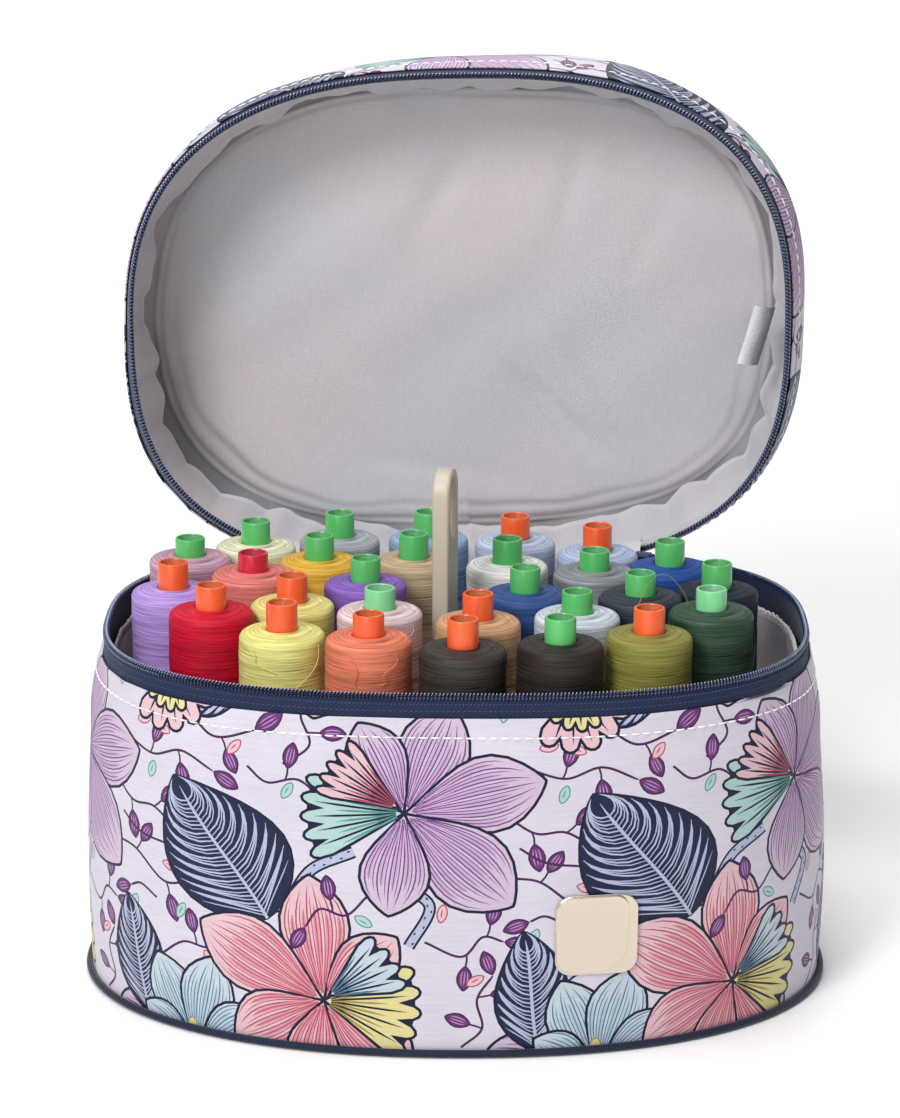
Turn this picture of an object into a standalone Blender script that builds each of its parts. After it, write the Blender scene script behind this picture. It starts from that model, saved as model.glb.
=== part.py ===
"""Oval soft-sided sewing box: a fabric case with a zipped lid that stands open, and a lift-out
insert of two peg trays on one carrying handle, with thread reels on the upper tray.

Metres, +Z up. The origin is the centre of the base, and the front faces -Y.
The lid is drawn closed, above its rim, and its parent empty at the hinge turns it open.
"""

import math

import bmesh
import bpy
from mathutils import Matrix, Vector

# Case: half sizes and squareness of its oval at the base, where it is widest, and at the rim
BASE_HALF = (0.1478, 0.1020)
BELLY_HALF = (0.1490, 0.1040)
RIM_HALF = (0.1400, 0.1030)
BELLY_Z = 0.050
BASE_POWER = 2.15
RIM_POWER = 2.65
COVER_TOP_Z = 0.1370
TAPE_TOP_Z = 0.1440
RIM_Z = 0.1469

# Sheet thicknesses
COVER = 0.0008
LINING = 0.0006
TAPE = 0.0008
BOARD = 0.0020
CASE_FOAM = 0.0022
LID_FOAM = 0.0020
GAP = 0.0003
INSIDE = COVER + 2 * GAP
FOAM_INSET = INSIDE + TAPE + GAP
LINING_TOP_Z = 0.1340
TAPE_BOTTOM_Z = 0.1268
PIPING_R = 0.0015
COIL_R = 0.0013

# Lid, drawn in heights above its own rim. It folds about a lower line, so that it hangs behind the case
HINGE_Y = 0.1035
HINGE_Z = 0.1370
LID_RISE = RIM_Z + 0.0004 - HINGE_Z
LID_HEIGHT = 0.0690
LID_BULGE = 0.0030
LID_TAPER = 0.0030
LID_COVER_BOTTOM = 0.0105
LID_LINING_BOTTOM = 0.0045
LID_TAPE_TOP = 0.0200
LID_OPEN_DEG = 93.5

# Zip: how far round from the back each piece ends, in steps of the oval, so that facets match
OVAL_STEPS = 40
STEP_DEG = 360 / OVAL_STEPS
HINGE_STRIP_END = 3 * STEP_DEG
SLIDER_AT = 3.5 * STEP_DEG
ZIP_END = 4 * STEP_DEG
SLIDER_SIZE = (0.0080, 0.0060, 0.0068)
BAIL_BAR = 0.0010
BAIL_OUT = 0.0046
PULL_WIDTH = 0.0046
PULL_THICK = 0.0012
PULL_LENGTH = 0.0220
PULL_EYE = (0.0009, 0.0017)

# Badge on the front
BADGE_ANGLE = -68.0
BADGE_Z = 0.0480
BADGE_SIZE = (0.0315, 0.0320)
BADGE_FACE_SIZE = (0.0290, 0.0295)
BADGE_CORNER = 0.0080

# Carrying strap on the lid
STRAP_WIDTH = 0.0250
STRAP_THICK = 0.0024
STRAP_HALF_SPAN = 0.0500
STRAP_END = 0.0300
STRAP_RISE = 0.0240

# Insert, turned a little in the case
INSERT_AT = (-0.0045, 0.0)
INSERT_TURN_DEG = -11.0
OUTER_RING = {"half": (0.1110, 0.0760), "power": 2.0, "count": 16, "phase": 0.62}
INNER_RING = {"half": (0.0785, 0.0410), "power": 2.15, "count": 10, "phase": 0.05}
MIDDLE_X = 0.0325
FLOOR_Z = 0.0043
LOWER_TRAY_Z = 0.0075
UPPER_TRAY_Z = 0.0920
TRAY_THICK = 0.0030
TRAY_HALF = (0.1245, 0.0895)
UPPER_LIP = 0.0040
LOWER_LIP = 0.0220
DIVIDER_X = 0.0420
DIVIDER_HEIGHT = 0.0180
TRAY_RIM = 0.0020
PEG_R = 0.0036
PEG_HEIGHT = 0.0560

# Handle
HANDLE_THICK = 0.0069
HANDLE_DEPTH = 0.0200
HANDLE_TOP_Z = 0.2080
HANDLE_SLOT = (0.0120, 0.0230)
SLOT_POWER = 60
HANDLE_RIM = 0.0042
FOOT_SIZE = (0.0300, 0.0440, 0.0020)
SPACER_WALL = 0.0018

# Thread reel
REEL_Z = UPPER_TRAY_Z + TRAY_THICK + GAP
REEL_LENGTH = 0.0738
CORE_R = 0.00605
BORE_R = 0.0048
THREAD_R = 0.0168
THREAD_FROM = 0.0080
THREAD_TO = 0.0636

# Facets
REEL_STEPS = 12
TUBE_STEPS = 6
PEG_STEPS = 6

CORE_COLOURS = {
    "green": (0.10, 0.55, 0.18, 1),
    "pale_green": (0.25, 0.66, 0.36, 1),
    "orange": (0.86, 0.16, 0.03, 1),
    "crimson": (0.62, 0.02, 0.05, 1),
}
# Each reel's core and thread colour, from +X anticlockwise: outer ring, inner ring, middle
REELS = [
    ("green", (0.012, 0.014, 0.035)),
    ("green", (0.016, 0.055, 0.240)),
    ("orange", (0.420, 0.500, 0.680)),
    ("orange", (0.480, 0.580, 0.740)),
    ("green", (0.330, 0.450, 0.620)),
    ("green", (0.400, 0.430, 0.430)),
    ("green", (0.760, 0.700, 0.450)),
    ("green", (0.480, 0.230, 0.320)),
    ("orange", (0.350, 0.220, 0.550)),
    ("orange", (0.600, 0.004, 0.018)),
    ("orange", (0.840, 0.620, 0.180)),
    ("orange", (0.820, 0.220, 0.120)),
    ("orange", (0.050, 0.035, 0.025)),
    ("green", (0.030, 0.017, 0.014)),
    ("orange", (0.300, 0.270, 0.040)),
    ("pale_green", (0.012, 0.065, 0.030)),
    ("green", (0.080, 0.095, 0.105)),
    ("green", (0.200, 0.210, 0.215)),
    ("green", (0.700, 0.700, 0.650)),
    ("green", (0.400, 0.280, 0.140)),
    ("green", (0.750, 0.450, 0.080)),
    ("crimson", (0.750, 0.160, 0.110)),
    ("orange", (0.850, 0.500, 0.060)),
    ("pale_green", (0.760, 0.480, 0.470)),
    ("orange", (0.620, 0.400, 0.240)),
    ("green", (0.420, 0.500, 0.560)),
    ("green", (0.170, 0.070, 0.330)),
    ("green", (0.080, 0.160, 0.400)),
]


def material(name, colour, roughness, metallic=0.0):
    """The named Principled material, made once."""
    found = bpy.data.materials.get(name)
    if found:
        return found
    made = bpy.data.materials.new(name)
    made.use_nodes = True
    shader = made.node_tree.nodes["Principled BSDF"]
    shader.inputs["Base Color"].default_value = (*colour[:3], 1)
    shader.inputs["Roughness"].default_value = roughness
    shader.inputs["Metallic"].default_value = metallic
    return made


def navy(name):
    return material(name, (0.012, 0.030, 0.110), 0.7)


def grey_lining():
    return material("lining", (0.50, 0.49, 0.49), 0.6)


def print_fabric():
    return material("print", (0.72, 0.62, 0.74), 0.55)


def beige_plastic():
    return material("plastic", (0.56, 0.50, 0.40), 0.45)


def finish(name, mesh, look, smooth=30):
    """Recalculates the faces to point outwards and adds the object to the scene."""
    bmesh.ops.recalc_face_normals(mesh, faces=mesh.faces)
    data = bpy.data.meshes.new(name)
    mesh.to_mesh(data)
    mesh.free()
    data.shade_smooth()
    data.set_sharp_from_angle(angle=math.radians(smooth))
    data.materials.append(look)
    made = bpy.data.objects.new(name, data)
    bpy.context.scene.collection.objects.link(made)
    return made


def oval_point(angle, half, power):
    """A point of an oval: power 2 is an ellipse, and a higher one is squarer."""
    cosine, sine = math.cos(angle), math.sin(angle)
    reach = (abs(cosine) ** power + abs(sine) ** power) ** (-1 / power)
    return Vector((half[0] * reach * cosine, half[1] * reach * sine))


def oval_normal(angle, half, power):
    """The oval's outward unit normal at that angle."""
    step = 1e-4
    along = oval_point(angle + step, half, power) - oval_point(angle - step, half, power)
    return Vector((along.y, -along.x)).normalized()


def through(height, heights, values):
    """The parabola through three values at three heights."""
    total = 0
    for i, value in enumerate(values):
        for j, other in enumerate(heights):
            if i != j:
                value *= (height - other) / (heights[i] - other)
        total += value
    return total


def case_outline(z):
    """(half sizes, power) of the case's outer oval at height z."""
    heights = (0, BELLY_Z, RIM_Z)
    half = tuple(through(z, heights, (BASE_HALF[i], BELLY_HALF[i], RIM_HALF[i])) for i in (0, 1))
    return half, BASE_POWER + (RIM_POWER - BASE_POWER) * z / RIM_Z


def lid_outline(z):
    """(half sizes, power) of the lid's outer oval at height z above its rim."""
    share = z / LID_HEIGHT
    swell = 4 * LID_BULGE * share * (1 - share) - LID_TAPER * share
    return (RIM_HALF[0] + swell, RIM_HALF[1] + swell), RIM_POWER


def wall_point(outline, angle, z, inset):
    """A point at height z, inside the outline by inset along its normal."""
    half, power = outline(z)
    flat = oval_point(angle, half, power) - inset * oval_normal(angle, half, power)
    return Vector((flat.x, flat.y, z))


def angles_between(start, end, steps):
    return [math.radians(start + (end - start) * i / steps) for i in range(steps + 1)]


def band(name, outline, section, look, span=None, smooth=30):
    """Sweeps a closed section of (z, inset) points round the outline, or along span only."""
    mesh = bmesh.new()
    closed = span is None
    angles = angles_between(0, 360, OVAL_STEPS)[:-1] if closed else span
    rings = [[mesh.verts.new(wall_point(outline, a, z, inset)) for z, inset in section] for a in angles]
    for i in range(len(rings) if closed else len(rings) - 1):
        here, after = rings[i], rings[(i + 1) % len(rings)]
        for j in range(len(section)):
            k = (j + 1) % len(section)
            mesh.faces.new((here[j], here[k], after[k], after[j]))
    if not closed:
        mesh.faces.new(rings[0])
        mesh.faces.new(rings[-1])
    return finish(name, mesh, look, smooth)


def wall_section(low, high, inset, thickness, levels=4):
    """A sheet standing between two heights, as a section for band."""
    heights = [low + (high - low) * i / (levels - 1) for i in range(levels)]
    return [(z, inset) for z in heights] + [(z, inset + thickness) for z in reversed(heights)]


def round_section(centre_z, centre_inset, radius):
    turns = angles_between(0, 360, TUBE_STEPS)[:-1]
    return [(centre_z + radius * math.sin(t), centre_inset + radius * math.cos(t)) for t in turns]


def plate(name, outline, low, thickness, inset, look):
    """A flat oval sheet."""
    mesh = bmesh.new()
    angles = angles_between(0, 360, OVAL_STEPS)[:-1]
    loops = []
    for z in (low, low + thickness):
        loops.append([mesh.verts.new(wall_point(outline, a, low, inset)) for a in angles])
        for vertex in loops[-1]:
            vertex.co.z = z
    for i in range(len(angles)):
        k = (i + 1) % len(angles)
        mesh.faces.new((loops[0][i], loops[0][k], loops[1][k], loops[1][i]))
    mesh.faces.new(loops[0])
    mesh.faces.new(loops[1])
    return finish(name, mesh, look)


def zip_span():
    """The angles that the zip runs through, round the front from one back end to the other."""
    return angles_between(90 + ZIP_END, 450 - ZIP_END, round((360 - 2 * ZIP_END) / STEP_DEG))


def build_case():
    plate("base_cover", case_outline, 0, COVER, 0, navy("base_fabric"))
    plate("base_board", case_outline, COVER + GAP, BOARD, INSIDE, material("board", (0.30, 0.28, 0.26), 0.8))
    plate("base_lining", case_outline, FLOOR_Z - GAP - LINING, LINING, INSIDE, grey_lining())
    piping = round_section(PIPING_R + GAP, -PIPING_R - GAP, PIPING_R)
    band("base_piping", case_outline, piping, navy("base_fabric"))
    cover = wall_section(COVER + GAP, COVER_TOP_Z, 0, COVER, 5)
    band("side_cover", case_outline, cover, print_fabric())
    foam = wall_section(FLOOR_Z, LINING_TOP_Z, FOAM_INSET, CASE_FOAM)
    band("side_foam", case_outline, foam, material("foam", (0.60, 0.60, 0.58), 0.9))
    lining = wall_section(FLOOR_Z, LINING_TOP_Z, FOAM_INSET + CASE_FOAM + 2 * GAP, LINING)
    band("side_lining", case_outline, lining, grey_lining())
    tape = wall_section(TAPE_BOTTOM_Z, TAPE_TOP_Z, INSIDE, TAPE, 2)
    band("body_zip_tape", case_outline, tape, navy("zip_tape"), zip_span())
    coil = round_section(RIM_Z - COIL_R, INSIDE + TAPE / 2, COIL_R)
    band("body_zip_coil", case_outline, coil, navy("zip_coil"), zip_span())
    strip = wall_section(TAPE_BOTTOM_Z, RIM_Z, INSIDE, TAPE, 3)
    across = angles_between(90 - HINGE_STRIP_END, 90 + HINGE_STRIP_END, round(2 * HINGE_STRIP_END / STEP_DEG))
    band("hinge_strip", case_outline, strip, navy("zip_tape"), across)


def rounded_square(size, corner, steps=4):
    """Points round a rectangle with rounded corners."""
    half_x, half_y = size[0] / 2 - corner, size[1] / 2 - corner
    points = []
    for quarter, (sx, sy) in enumerate(((1, 1), (-1, 1), (-1, -1), (1, -1))):
        for i in range(steps + 1):
            turn = math.pi / 2 * (quarter + i / steps)
            points.append(Vector((sx * half_x + corner * math.cos(turn), sy * half_y + corner * math.sin(turn))))
    return points


def prism(name, points, thickness, look, holes=()):
    """A flat shape standing on its XY plane. Each hole has as many points as the outline."""
    mesh = bmesh.new()
    loops = []
    for outline in (points, *holes):
        loops.append([[mesh.verts.new((p.x, p.y, z)) for p in outline] for z in (0, thickness)])
    for low, high in loops:
        for i in range(len(low)):
            k = (i + 1) % len(low)
            mesh.faces.new((low[i], low[k], high[k], high[i]))
    for level in (0, 1):
        if not holes:
            mesh.faces.new(loops[0][level])
            continue
        outer, inner = loops[0][level], loops[1][level]
        for i in range(len(outer)):
            k = (i + 1) % len(outer)
            mesh.faces.new((outer[i], outer[k], inner[k], inner[i]))
    return finish(name, mesh, look)


def wall_frame(outline, angle, z, out):
    """The frame standing out from the wall: X along it, Y up it, Z outwards."""
    half, power = outline(z)
    normal = oval_normal(angle, half, power)
    place = wall_point(outline, angle, z, -out)
    outwards = Vector((normal.x, normal.y, 0))
    upwards = Vector((0, 0, 1))
    axes = Matrix((upwards.cross(outwards), upwards, outwards)).transposed()
    return Matrix.Translation(place) @ axes.to_4x4()


def build_badge():
    metal = material("badge", (0.70, 0.62, 0.52), 0.3, 1.0)
    angle = math.radians(BADGE_ANGLE)
    thick = 0.0009
    for name, size, out, corner in (
        ("badge_plate", BADGE_SIZE, 0.0002, BADGE_CORNER),
        ("badge_face", BADGE_FACE_SIZE, 0.0002 + thick + GAP, BADGE_CORNER - 0.001),
    ):
        made = prism(name, rounded_square(size, corner), thick, metal)
        made.matrix_world = wall_frame(case_outline, angle, BADGE_Z, out + 0.0006)


def block(name, size, look, bevel=0.0):
    """A box about its own origin."""
    mesh = bmesh.new()
    bmesh.ops.create_cube(mesh, size=1)
    bmesh.ops.scale(mesh, vec=size, verts=mesh.verts)
    if bevel:
        bmesh.ops.bevel(mesh, geom=mesh.edges, offset=bevel, segments=1, affect="EDGES")
    return finish(name, mesh, look)


def unite(target, *others):
    """Adds the other solids to the target, and keeps them as unrendered cutters."""
    for other in others:
        other.hide_render = True
        other.display_type = "WIRE"
        joining = target.modifiers.new("join", "BOOLEAN")
        joining.operation = "UNION"
        joining.object = other


def pull_profile(steps=8):
    """(outline, eye) of a pull seen from its side: a round eye with a tab below it."""
    inner, outer = PULL_EYE
    half = PULL_THICK / 2
    edge = math.asin(half / outer)
    outline = [Vector((-half, -PULL_LENGTH)), Vector((half, -PULL_LENGTH))]
    eye = [Vector((inner * math.sin(turn), -inner * math.cos(turn))) for turn in (-0.2, 0.2)]
    for i in range(steps + 1):
        turn = edge + (2 * math.pi - 2 * edge) * i / steps
        around = Vector((math.sin(turn), -math.cos(turn)))
        outline.append(outer * around)
        turn = 0.5 + (2 * math.pi - 1.0) * i / steps
        eye.append(inner * Vector((math.sin(turn), -math.cos(turn))))
    return outline, eye


def build_sliders():
    """A slider parked at each back end of the zip, with a bail outside, and its hanging pull."""
    metal = material("zip_metal", (0.05, 0.07, 0.14), 0.35, 0.6)
    for side, sign in (("left", 1), ("right", -1)):
        angle = math.radians(90 + sign * SLIDER_AT)
        middle_z = RIM_Z - SLIDER_SIZE[2] / 2
        frame = wall_frame(case_outline, angle, middle_z, 0)
        body = block(f"zip_slider_{side}", (SLIDER_SIZE[0], SLIDER_SIZE[2], SLIDER_SIZE[1]), metal, 0.0008)
        body.matrix_world = frame @ Matrix.Translation((0, 0, -0.0010))
        bar = block(f"bail_bar_{side}", (SLIDER_SIZE[0] - 0.0012, BAIL_BAR, BAIL_BAR), metal)
        bar.matrix_world = frame @ Matrix.Translation((0, 0, BAIL_OUT))
        legs = []
        for end in (-1, 1):
            leg = block(f"bail_leg_{side}_{end + 1}", (BAIL_BAR, 0.0014, 0.0046), metal)
            at = (end * (PULL_WIDTH / 2 + GAP + BAIL_BAR / 2), 0, BAIL_OUT - 0.0016)
            leg.matrix_world = frame @ Matrix.Translation(at)
            legs.append(leg)
        unite(body, *legs, bar)
        outline, eye = pull_profile()
        pull = prism(f"zip_pull_{side}", outline, PULL_WIDTH, metal, [eye])
        sideways = Matrix(((0, 0, 1, -PULL_WIDTH / 2), (0, 1, 0, 0), (1, 0, 0, BAIL_OUT), (0, 0, 0, 1)))
        pull.matrix_world = frame @ sideways


def lid_parent():
    empty = bpy.data.objects.new("lid_hinge_axis", None)
    empty.location = (0, HINGE_Y, HINGE_Z)
    empty.rotation_euler = (-math.radians(LID_OPEN_DEG), 0, 0)
    bpy.context.scene.collection.objects.link(empty)
    return empty


def strap_points():
    """The strap's middle line in XZ: two flat ends and an arch between them."""
    flat = STRAP_THICK / 2
    line = [Vector((-STRAP_HALF_SPAN - STRAP_END, flat)), Vector((-STRAP_HALF_SPAN, flat))]
    steps = 12
    for i in range(1, steps):
        share = i / steps
        rise = STRAP_RISE * math.sin(math.pi * share) ** 1.3
        line.append(Vector((STRAP_HALF_SPAN * (2 * share - 1), flat + rise)))
    line += [Vector((STRAP_HALF_SPAN, flat)), Vector((STRAP_HALF_SPAN + STRAP_END, flat))]
    return line


def build_strap():
    """Webbing of rectangular section along the strap's line."""
    mesh = bmesh.new()
    line = strap_points()
    rings = []
    for i, point in enumerate(line):
        before, after = line[max(i - 1, 0)], line[min(i + 1, len(line) - 1)]
        along = (after - before).normalized()
        up = Vector((-along.y, along.x)) * STRAP_THICK / 2
        half = STRAP_WIDTH / 2
        corners = [(point - up, -half), (point - up, half), (point + up, half), (point + up, -half)]
        rings.append([mesh.verts.new((p.x, y, p.y)) for p, y in corners])
    for here, after in zip(rings, rings[1:]):
        for j in range(4):
            k = (j + 1) % 4
            mesh.faces.new((here[j], here[k], after[k], after[j]))
    mesh.faces.new(rings[0])
    mesh.faces.new(rings[-1])
    return finish("carry_strap", mesh, navy("webbing"))


def build_lid():
    """The lid closed, in heights above its rim, then hung on the empty at the hinge."""
    lining_inset = FOAM_INSET + LID_FOAM + 2 * GAP
    top = LID_HEIGHT - COVER
    parts = [
        band("lid_side_cover", lid_outline, wall_section(LID_COVER_BOTTOM, top - GAP, 0, COVER, 5), print_fabric()),
        band(
            "lid_side_foam",
            lid_outline,
            wall_section(LID_LINING_BOTTOM, top - 0.0032, FOAM_INSET, LID_FOAM),
            material("foam", (0.60, 0.60, 0.58), 0.9),
        ),
        band("lid_side_lining", lid_outline, wall_section(LID_LINING_BOTTOM, top - 0.0032, lining_inset, LINING), grey_lining()),
        plate("lid_top_cover", lid_outline, top, COVER, 0, print_fabric()),
        plate("lid_board", lid_outline, top - GAP - 0.0017, 0.0017, INSIDE, material("board", (0.30, 0.28, 0.26), 0.8)),
        plate("lid_top_lining", lid_outline, top - 0.0029, LINING, INSIDE, grey_lining()),
        band("lid_piping", lid_outline, round_section(LID_HEIGHT, -PIPING_R - GAP, PIPING_R), navy("base_fabric")),
        band(
            "lid_zip_tape",
            lid_outline,
            wall_section(2 * COIL_R + 2 * GAP + 0.0004, LID_TAPE_TOP, INSIDE, TAPE, 2),
            navy("zip_tape"),
            zip_span(),
        ),
        band(
            "lid_zip_coil",
            lid_outline,
            round_section(COIL_R + 0.0004, INSIDE + TAPE / 2, COIL_R),
            navy("zip_coil"),
            zip_span(),
        ),
    ]
    label = block("lid_label", (0.0140, 0.0230, 0.0008), material("satin_label", (0.52, 0.51, 0.52), 0.35))
    label.location = (RIM_HALF[0] - lining_inset - LINING - 0.0095, 0.0210, 0.0160)
    strap = build_strap()
    strap.location.z = LID_HEIGHT + GAP
    empty = lid_parent()
    for part in (*parts, label, strap):
        part.location.y -= HINGE_Y
        part.location.z += LID_RISE
        part.parent = empty


def ring_points(ring):
    """Evenly spaced points round an oval, by distance along it."""
    fine = 720
    line = [oval_point(2 * math.pi * i / fine, ring["half"], ring["power"]) for i in range(fine + 1)]
    travelled = [0]
    for here, after in zip(line, line[1:]):
        travelled.append(travelled[-1] + (after - here).length)
    points = []
    index = 0
    for i in range(ring["count"]):
        wanted = travelled[-1] * (i + ring["phase"]) / ring["count"]
        while travelled[index + 1] < wanted:
            index += 1
        points.append(line[index])
    return points


def peg_places():
    """Where the pegs stand: two rings, and one on each side of the handle."""
    middle = [Vector((-MIDDLE_X, 0)), Vector((MIDDLE_X, 0))]
    return ring_points(OUTER_RING) + ring_points(INNER_RING) + middle


def insert_frame():
    return Matrix.Translation((*INSERT_AT, 0)) @ Matrix.Rotation(math.radians(INSERT_TURN_DEG), 4, "Z")


def tray_plate(name, floor_z, low, lip):
    """An oval plate with a slot for the handle, a raised rim, and feet round its edge down to low."""
    top = floor_z + TRAY_THICK
    section = [
        (low, 0),
        (top + lip, 0),
        (top + lip, TRAY_RIM),
        (top, TRAY_RIM),
        (floor_z, TRAY_RIM),
        (low, TRAY_RIM),
    ]
    mesh = bmesh.new()
    slot_half = (HANDLE_THICK / 2 + GAP, HANDLE_DEPTH / 2 + GAP)
    rings = []
    for a in angles_between(0, 360, OVAL_STEPS)[:-1]:
        rim = [mesh.verts.new(wall_point(lambda z: (TRAY_HALF, 2), a, z, inset)) for z, inset in section]
        slot = oval_point(a, slot_half, SLOT_POWER)
        rings.append(rim + [mesh.verts.new((slot.x, slot.y, z)) for z in (floor_z, top)])
    faces = ((0, 1), (1, 2), (2, 3), (3, 7), (7, 6), (6, 4), (4, 5), (5, 0))
    for i, here in enumerate(rings):
        after = rings[(i + 1) % len(rings)]
        for j, k in faces:
            mesh.faces.new((here[j], here[k], after[k], after[j]))
    tray = finish(name, mesh, beige_plastic())
    tray.matrix_world = insert_frame()
    return tray


def build_upper_tray():
    """The plate with a peg for each reel."""
    tray = tray_plate("upper_tray", UPPER_TRAY_Z, UPPER_TRAY_Z - 0.0010, UPPER_LIP)
    root = UPPER_TRAY_Z + TRAY_THICK / 2
    tip = UPPER_TRAY_Z + TRAY_THICK + PEG_HEIGHT
    pegs = bmesh.new()
    for place in peg_places():
        bmesh.ops.create_cone(
            pegs,
            cap_ends=True,
            segments=PEG_STEPS,
            radius1=PEG_R,
            radius2=PEG_R,
            depth=tip - root,
            matrix=Matrix.Translation((place.x, place.y, (root + tip) / 2)),
        )
    joined = finish("pegs", pegs, beige_plastic())
    joined.matrix_world = insert_frame()
    unite(tray, joined)


def build_lower_tray():
    """A deeper open tray with two dividers, which stands on its edge on the case's floor."""
    tray = tray_plate("lower_tray", LOWER_TRAY_Z, FLOOR_Z, LOWER_LIP)
    length = 2 * oval_reach_y(DIVIDER_X) - TRAY_RIM
    for side in (-1, 1):
        divider = block(f"divider_{side + 1}", (0.0016, length, DIVIDER_HEIGHT + TRAY_THICK / 2), beige_plastic())
        height = LOWER_TRAY_Z + TRAY_THICK / 2 + (DIVIDER_HEIGHT + TRAY_THICK / 2) / 2
        divider.matrix_world = insert_frame() @ Matrix.Translation((side * DIVIDER_X, 0, height))
        unite(tray, divider)


def oval_reach_y(x):
    """The tray's half depth at distance x from its middle."""
    return TRAY_HALF[1] * math.sqrt(1 - (x / TRAY_HALF[0]) ** 2)


def half_circle(middle, radius, start, steps=8):
    """Points round half a circle, anticlockwise from the start angle."""
    turns = [start + math.pi * i / steps for i in range(steps + 1)]
    return [middle + radius * Vector((math.cos(t), math.sin(t))) for t in turns]


def handle_outline(width, low, high, steps=8):
    """A strip with a flat foot at low and a half-round end at high."""
    radius = width / 2
    foot = [Vector((radius * (2 * i / steps - 1), low)) for i in range(steps + 1)]
    return foot + half_circle(Vector((0, high - radius)), radius, 0, steps)


def handle_slot(width, low, high):
    """The finger hole, half-round at both ends, with as many points as the handle's outline."""
    radius = width / 2
    return half_circle(Vector((0, low + radius)), radius, math.pi) + half_circle(Vector((0, high - radius)), radius, 0)


def build_handle():
    """The plate stands up through both trays. Its foot is under the lower tray."""
    slot_top = HANDLE_TOP_Z - HANDLE_RIM
    shape = prism(
        "lift_handle",
        handle_outline(HANDLE_DEPTH, FLOOR_Z, HANDLE_TOP_Z),
        HANDLE_THICK,
        beige_plastic(),
        [handle_slot(HANDLE_SLOT[0], slot_top - HANDLE_SLOT[1], slot_top)],
    )
    upright = Matrix(((0, 0, 1, -HANDLE_THICK / 2), (1, 0, 0, 0), (0, 1, 0, 0), (0, 0, 0, 1)))
    shape.matrix_world = insert_frame() @ upright
    foot = block("handle_foot", FOOT_SIZE, beige_plastic())
    foot.matrix_world = insert_frame() @ Matrix.Translation((0, 0, FLOOR_Z + FOOT_SIZE[2] / 2))
    unite(shape, foot)
    low = LOWER_TRAY_Z + TRAY_THICK + GAP
    inner = (HANDLE_THICK + 4 * GAP, HANDLE_DEPTH + 4 * GAP)
    outer = (inner[0] + 2 * SPACER_WALL, inner[1] + 2 * SPACER_WALL)
    spacer = prism(
        "tray_spacer",
        rounded_square(outer, 0.002, 1),
        UPPER_TRAY_Z - GAP - low,
        beige_plastic(),
        [rounded_square(inner, 0.001, 1)],
    )
    spacer.matrix_world = insert_frame() @ Matrix.Translation((0, 0, low))


def reel_mesh(name):
    """A turned reel: a core with a bore, and the wound thread round it."""
    profile = [
        (BORE_R, 0),
        (CORE_R, 0),
        (CORE_R, THREAD_FROM),
        (THREAD_R, THREAD_FROM),
        (THREAD_R, THREAD_TO),
        (CORE_R, THREAD_TO),
        (CORE_R, REEL_LENGTH),
        (BORE_R, REEL_LENGTH),
    ]
    mesh = bmesh.new()
    rings = []
    for turn in angles_between(0, 360, REEL_STEPS)[:-1]:
        rings.append([mesh.verts.new((r * math.cos(turn), r * math.sin(turn), z)) for r, z in profile])
    for i, here in enumerate(rings):
        after = rings[(i + 1) % len(rings)]
        for j in range(len(profile)):
            k = (j + 1) % len(profile)
            face = mesh.faces.new((here[j], here[k], after[k], after[j]))
            face.material_index = 1 if j in (2, 3, 4) else 0
    return mesh


def build_reels():
    for number, (place, (core, thread)) in enumerate(zip(peg_places(), REELS), 1):
        name = f"spool_{number:02d}"
        reel = finish(name, reel_mesh(name), material(f"core_{core}", CORE_COLOURS[core], 0.4))
        reel.data.materials.append(material(f"thread_{number:02d}", thread, 0.6))
        reel.matrix_world = insert_frame() @ Matrix.Translation((place.x, place.y, REEL_Z))


def main():
    for thing in list(bpy.data.objects):
        bpy.data.objects.remove(thing)
    build_case()
    build_badge()
    build_sliders()
    build_lid()
    build_lower_tray()
    build_upper_tray()
    build_handle()
    build_reels()


main()
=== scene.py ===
"""The looks of an oval soft-sided sewing box with a printed cover, a zipped lid standing open, and a
lift-out tray of thread reels. Everything is in metres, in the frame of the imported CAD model.

Surfaces are functions of flat cloth coordinates: a point goes from the flat cloth to the case's wall,
or to the lid drawn closed and then turned open about its hinge.
"""

import math
import random

import bpy
import numpy as np
from mathutils import Matrix, Vector, geometry


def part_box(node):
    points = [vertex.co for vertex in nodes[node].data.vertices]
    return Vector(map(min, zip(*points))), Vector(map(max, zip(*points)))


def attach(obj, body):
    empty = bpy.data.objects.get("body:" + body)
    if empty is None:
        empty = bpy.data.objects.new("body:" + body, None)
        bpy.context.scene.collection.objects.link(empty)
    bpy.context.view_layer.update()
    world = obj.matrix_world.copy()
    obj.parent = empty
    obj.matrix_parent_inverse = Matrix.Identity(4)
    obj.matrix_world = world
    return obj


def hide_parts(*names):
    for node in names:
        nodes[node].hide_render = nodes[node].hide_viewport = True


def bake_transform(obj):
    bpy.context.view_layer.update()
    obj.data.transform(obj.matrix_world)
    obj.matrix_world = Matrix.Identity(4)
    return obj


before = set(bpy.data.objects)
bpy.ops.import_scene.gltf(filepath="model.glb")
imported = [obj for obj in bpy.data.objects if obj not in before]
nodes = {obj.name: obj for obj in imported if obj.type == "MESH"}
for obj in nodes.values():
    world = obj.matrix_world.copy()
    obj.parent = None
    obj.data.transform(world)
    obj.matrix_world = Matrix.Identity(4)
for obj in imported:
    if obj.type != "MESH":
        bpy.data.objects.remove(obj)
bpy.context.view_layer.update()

# Case: half sizes and squareness of its oval at the base, where it is widest, and at the rim
BASE_HALF = (0.1478, 0.1020)
BELLY_HALF = (0.1490, 0.1040)
RIM_HALF = (0.1400, 0.1030)
BELLY_Z, RIM_Z = 0.0500, 0.1469
BASE_POWER, RIM_POWER = 2.15, 2.65
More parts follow.
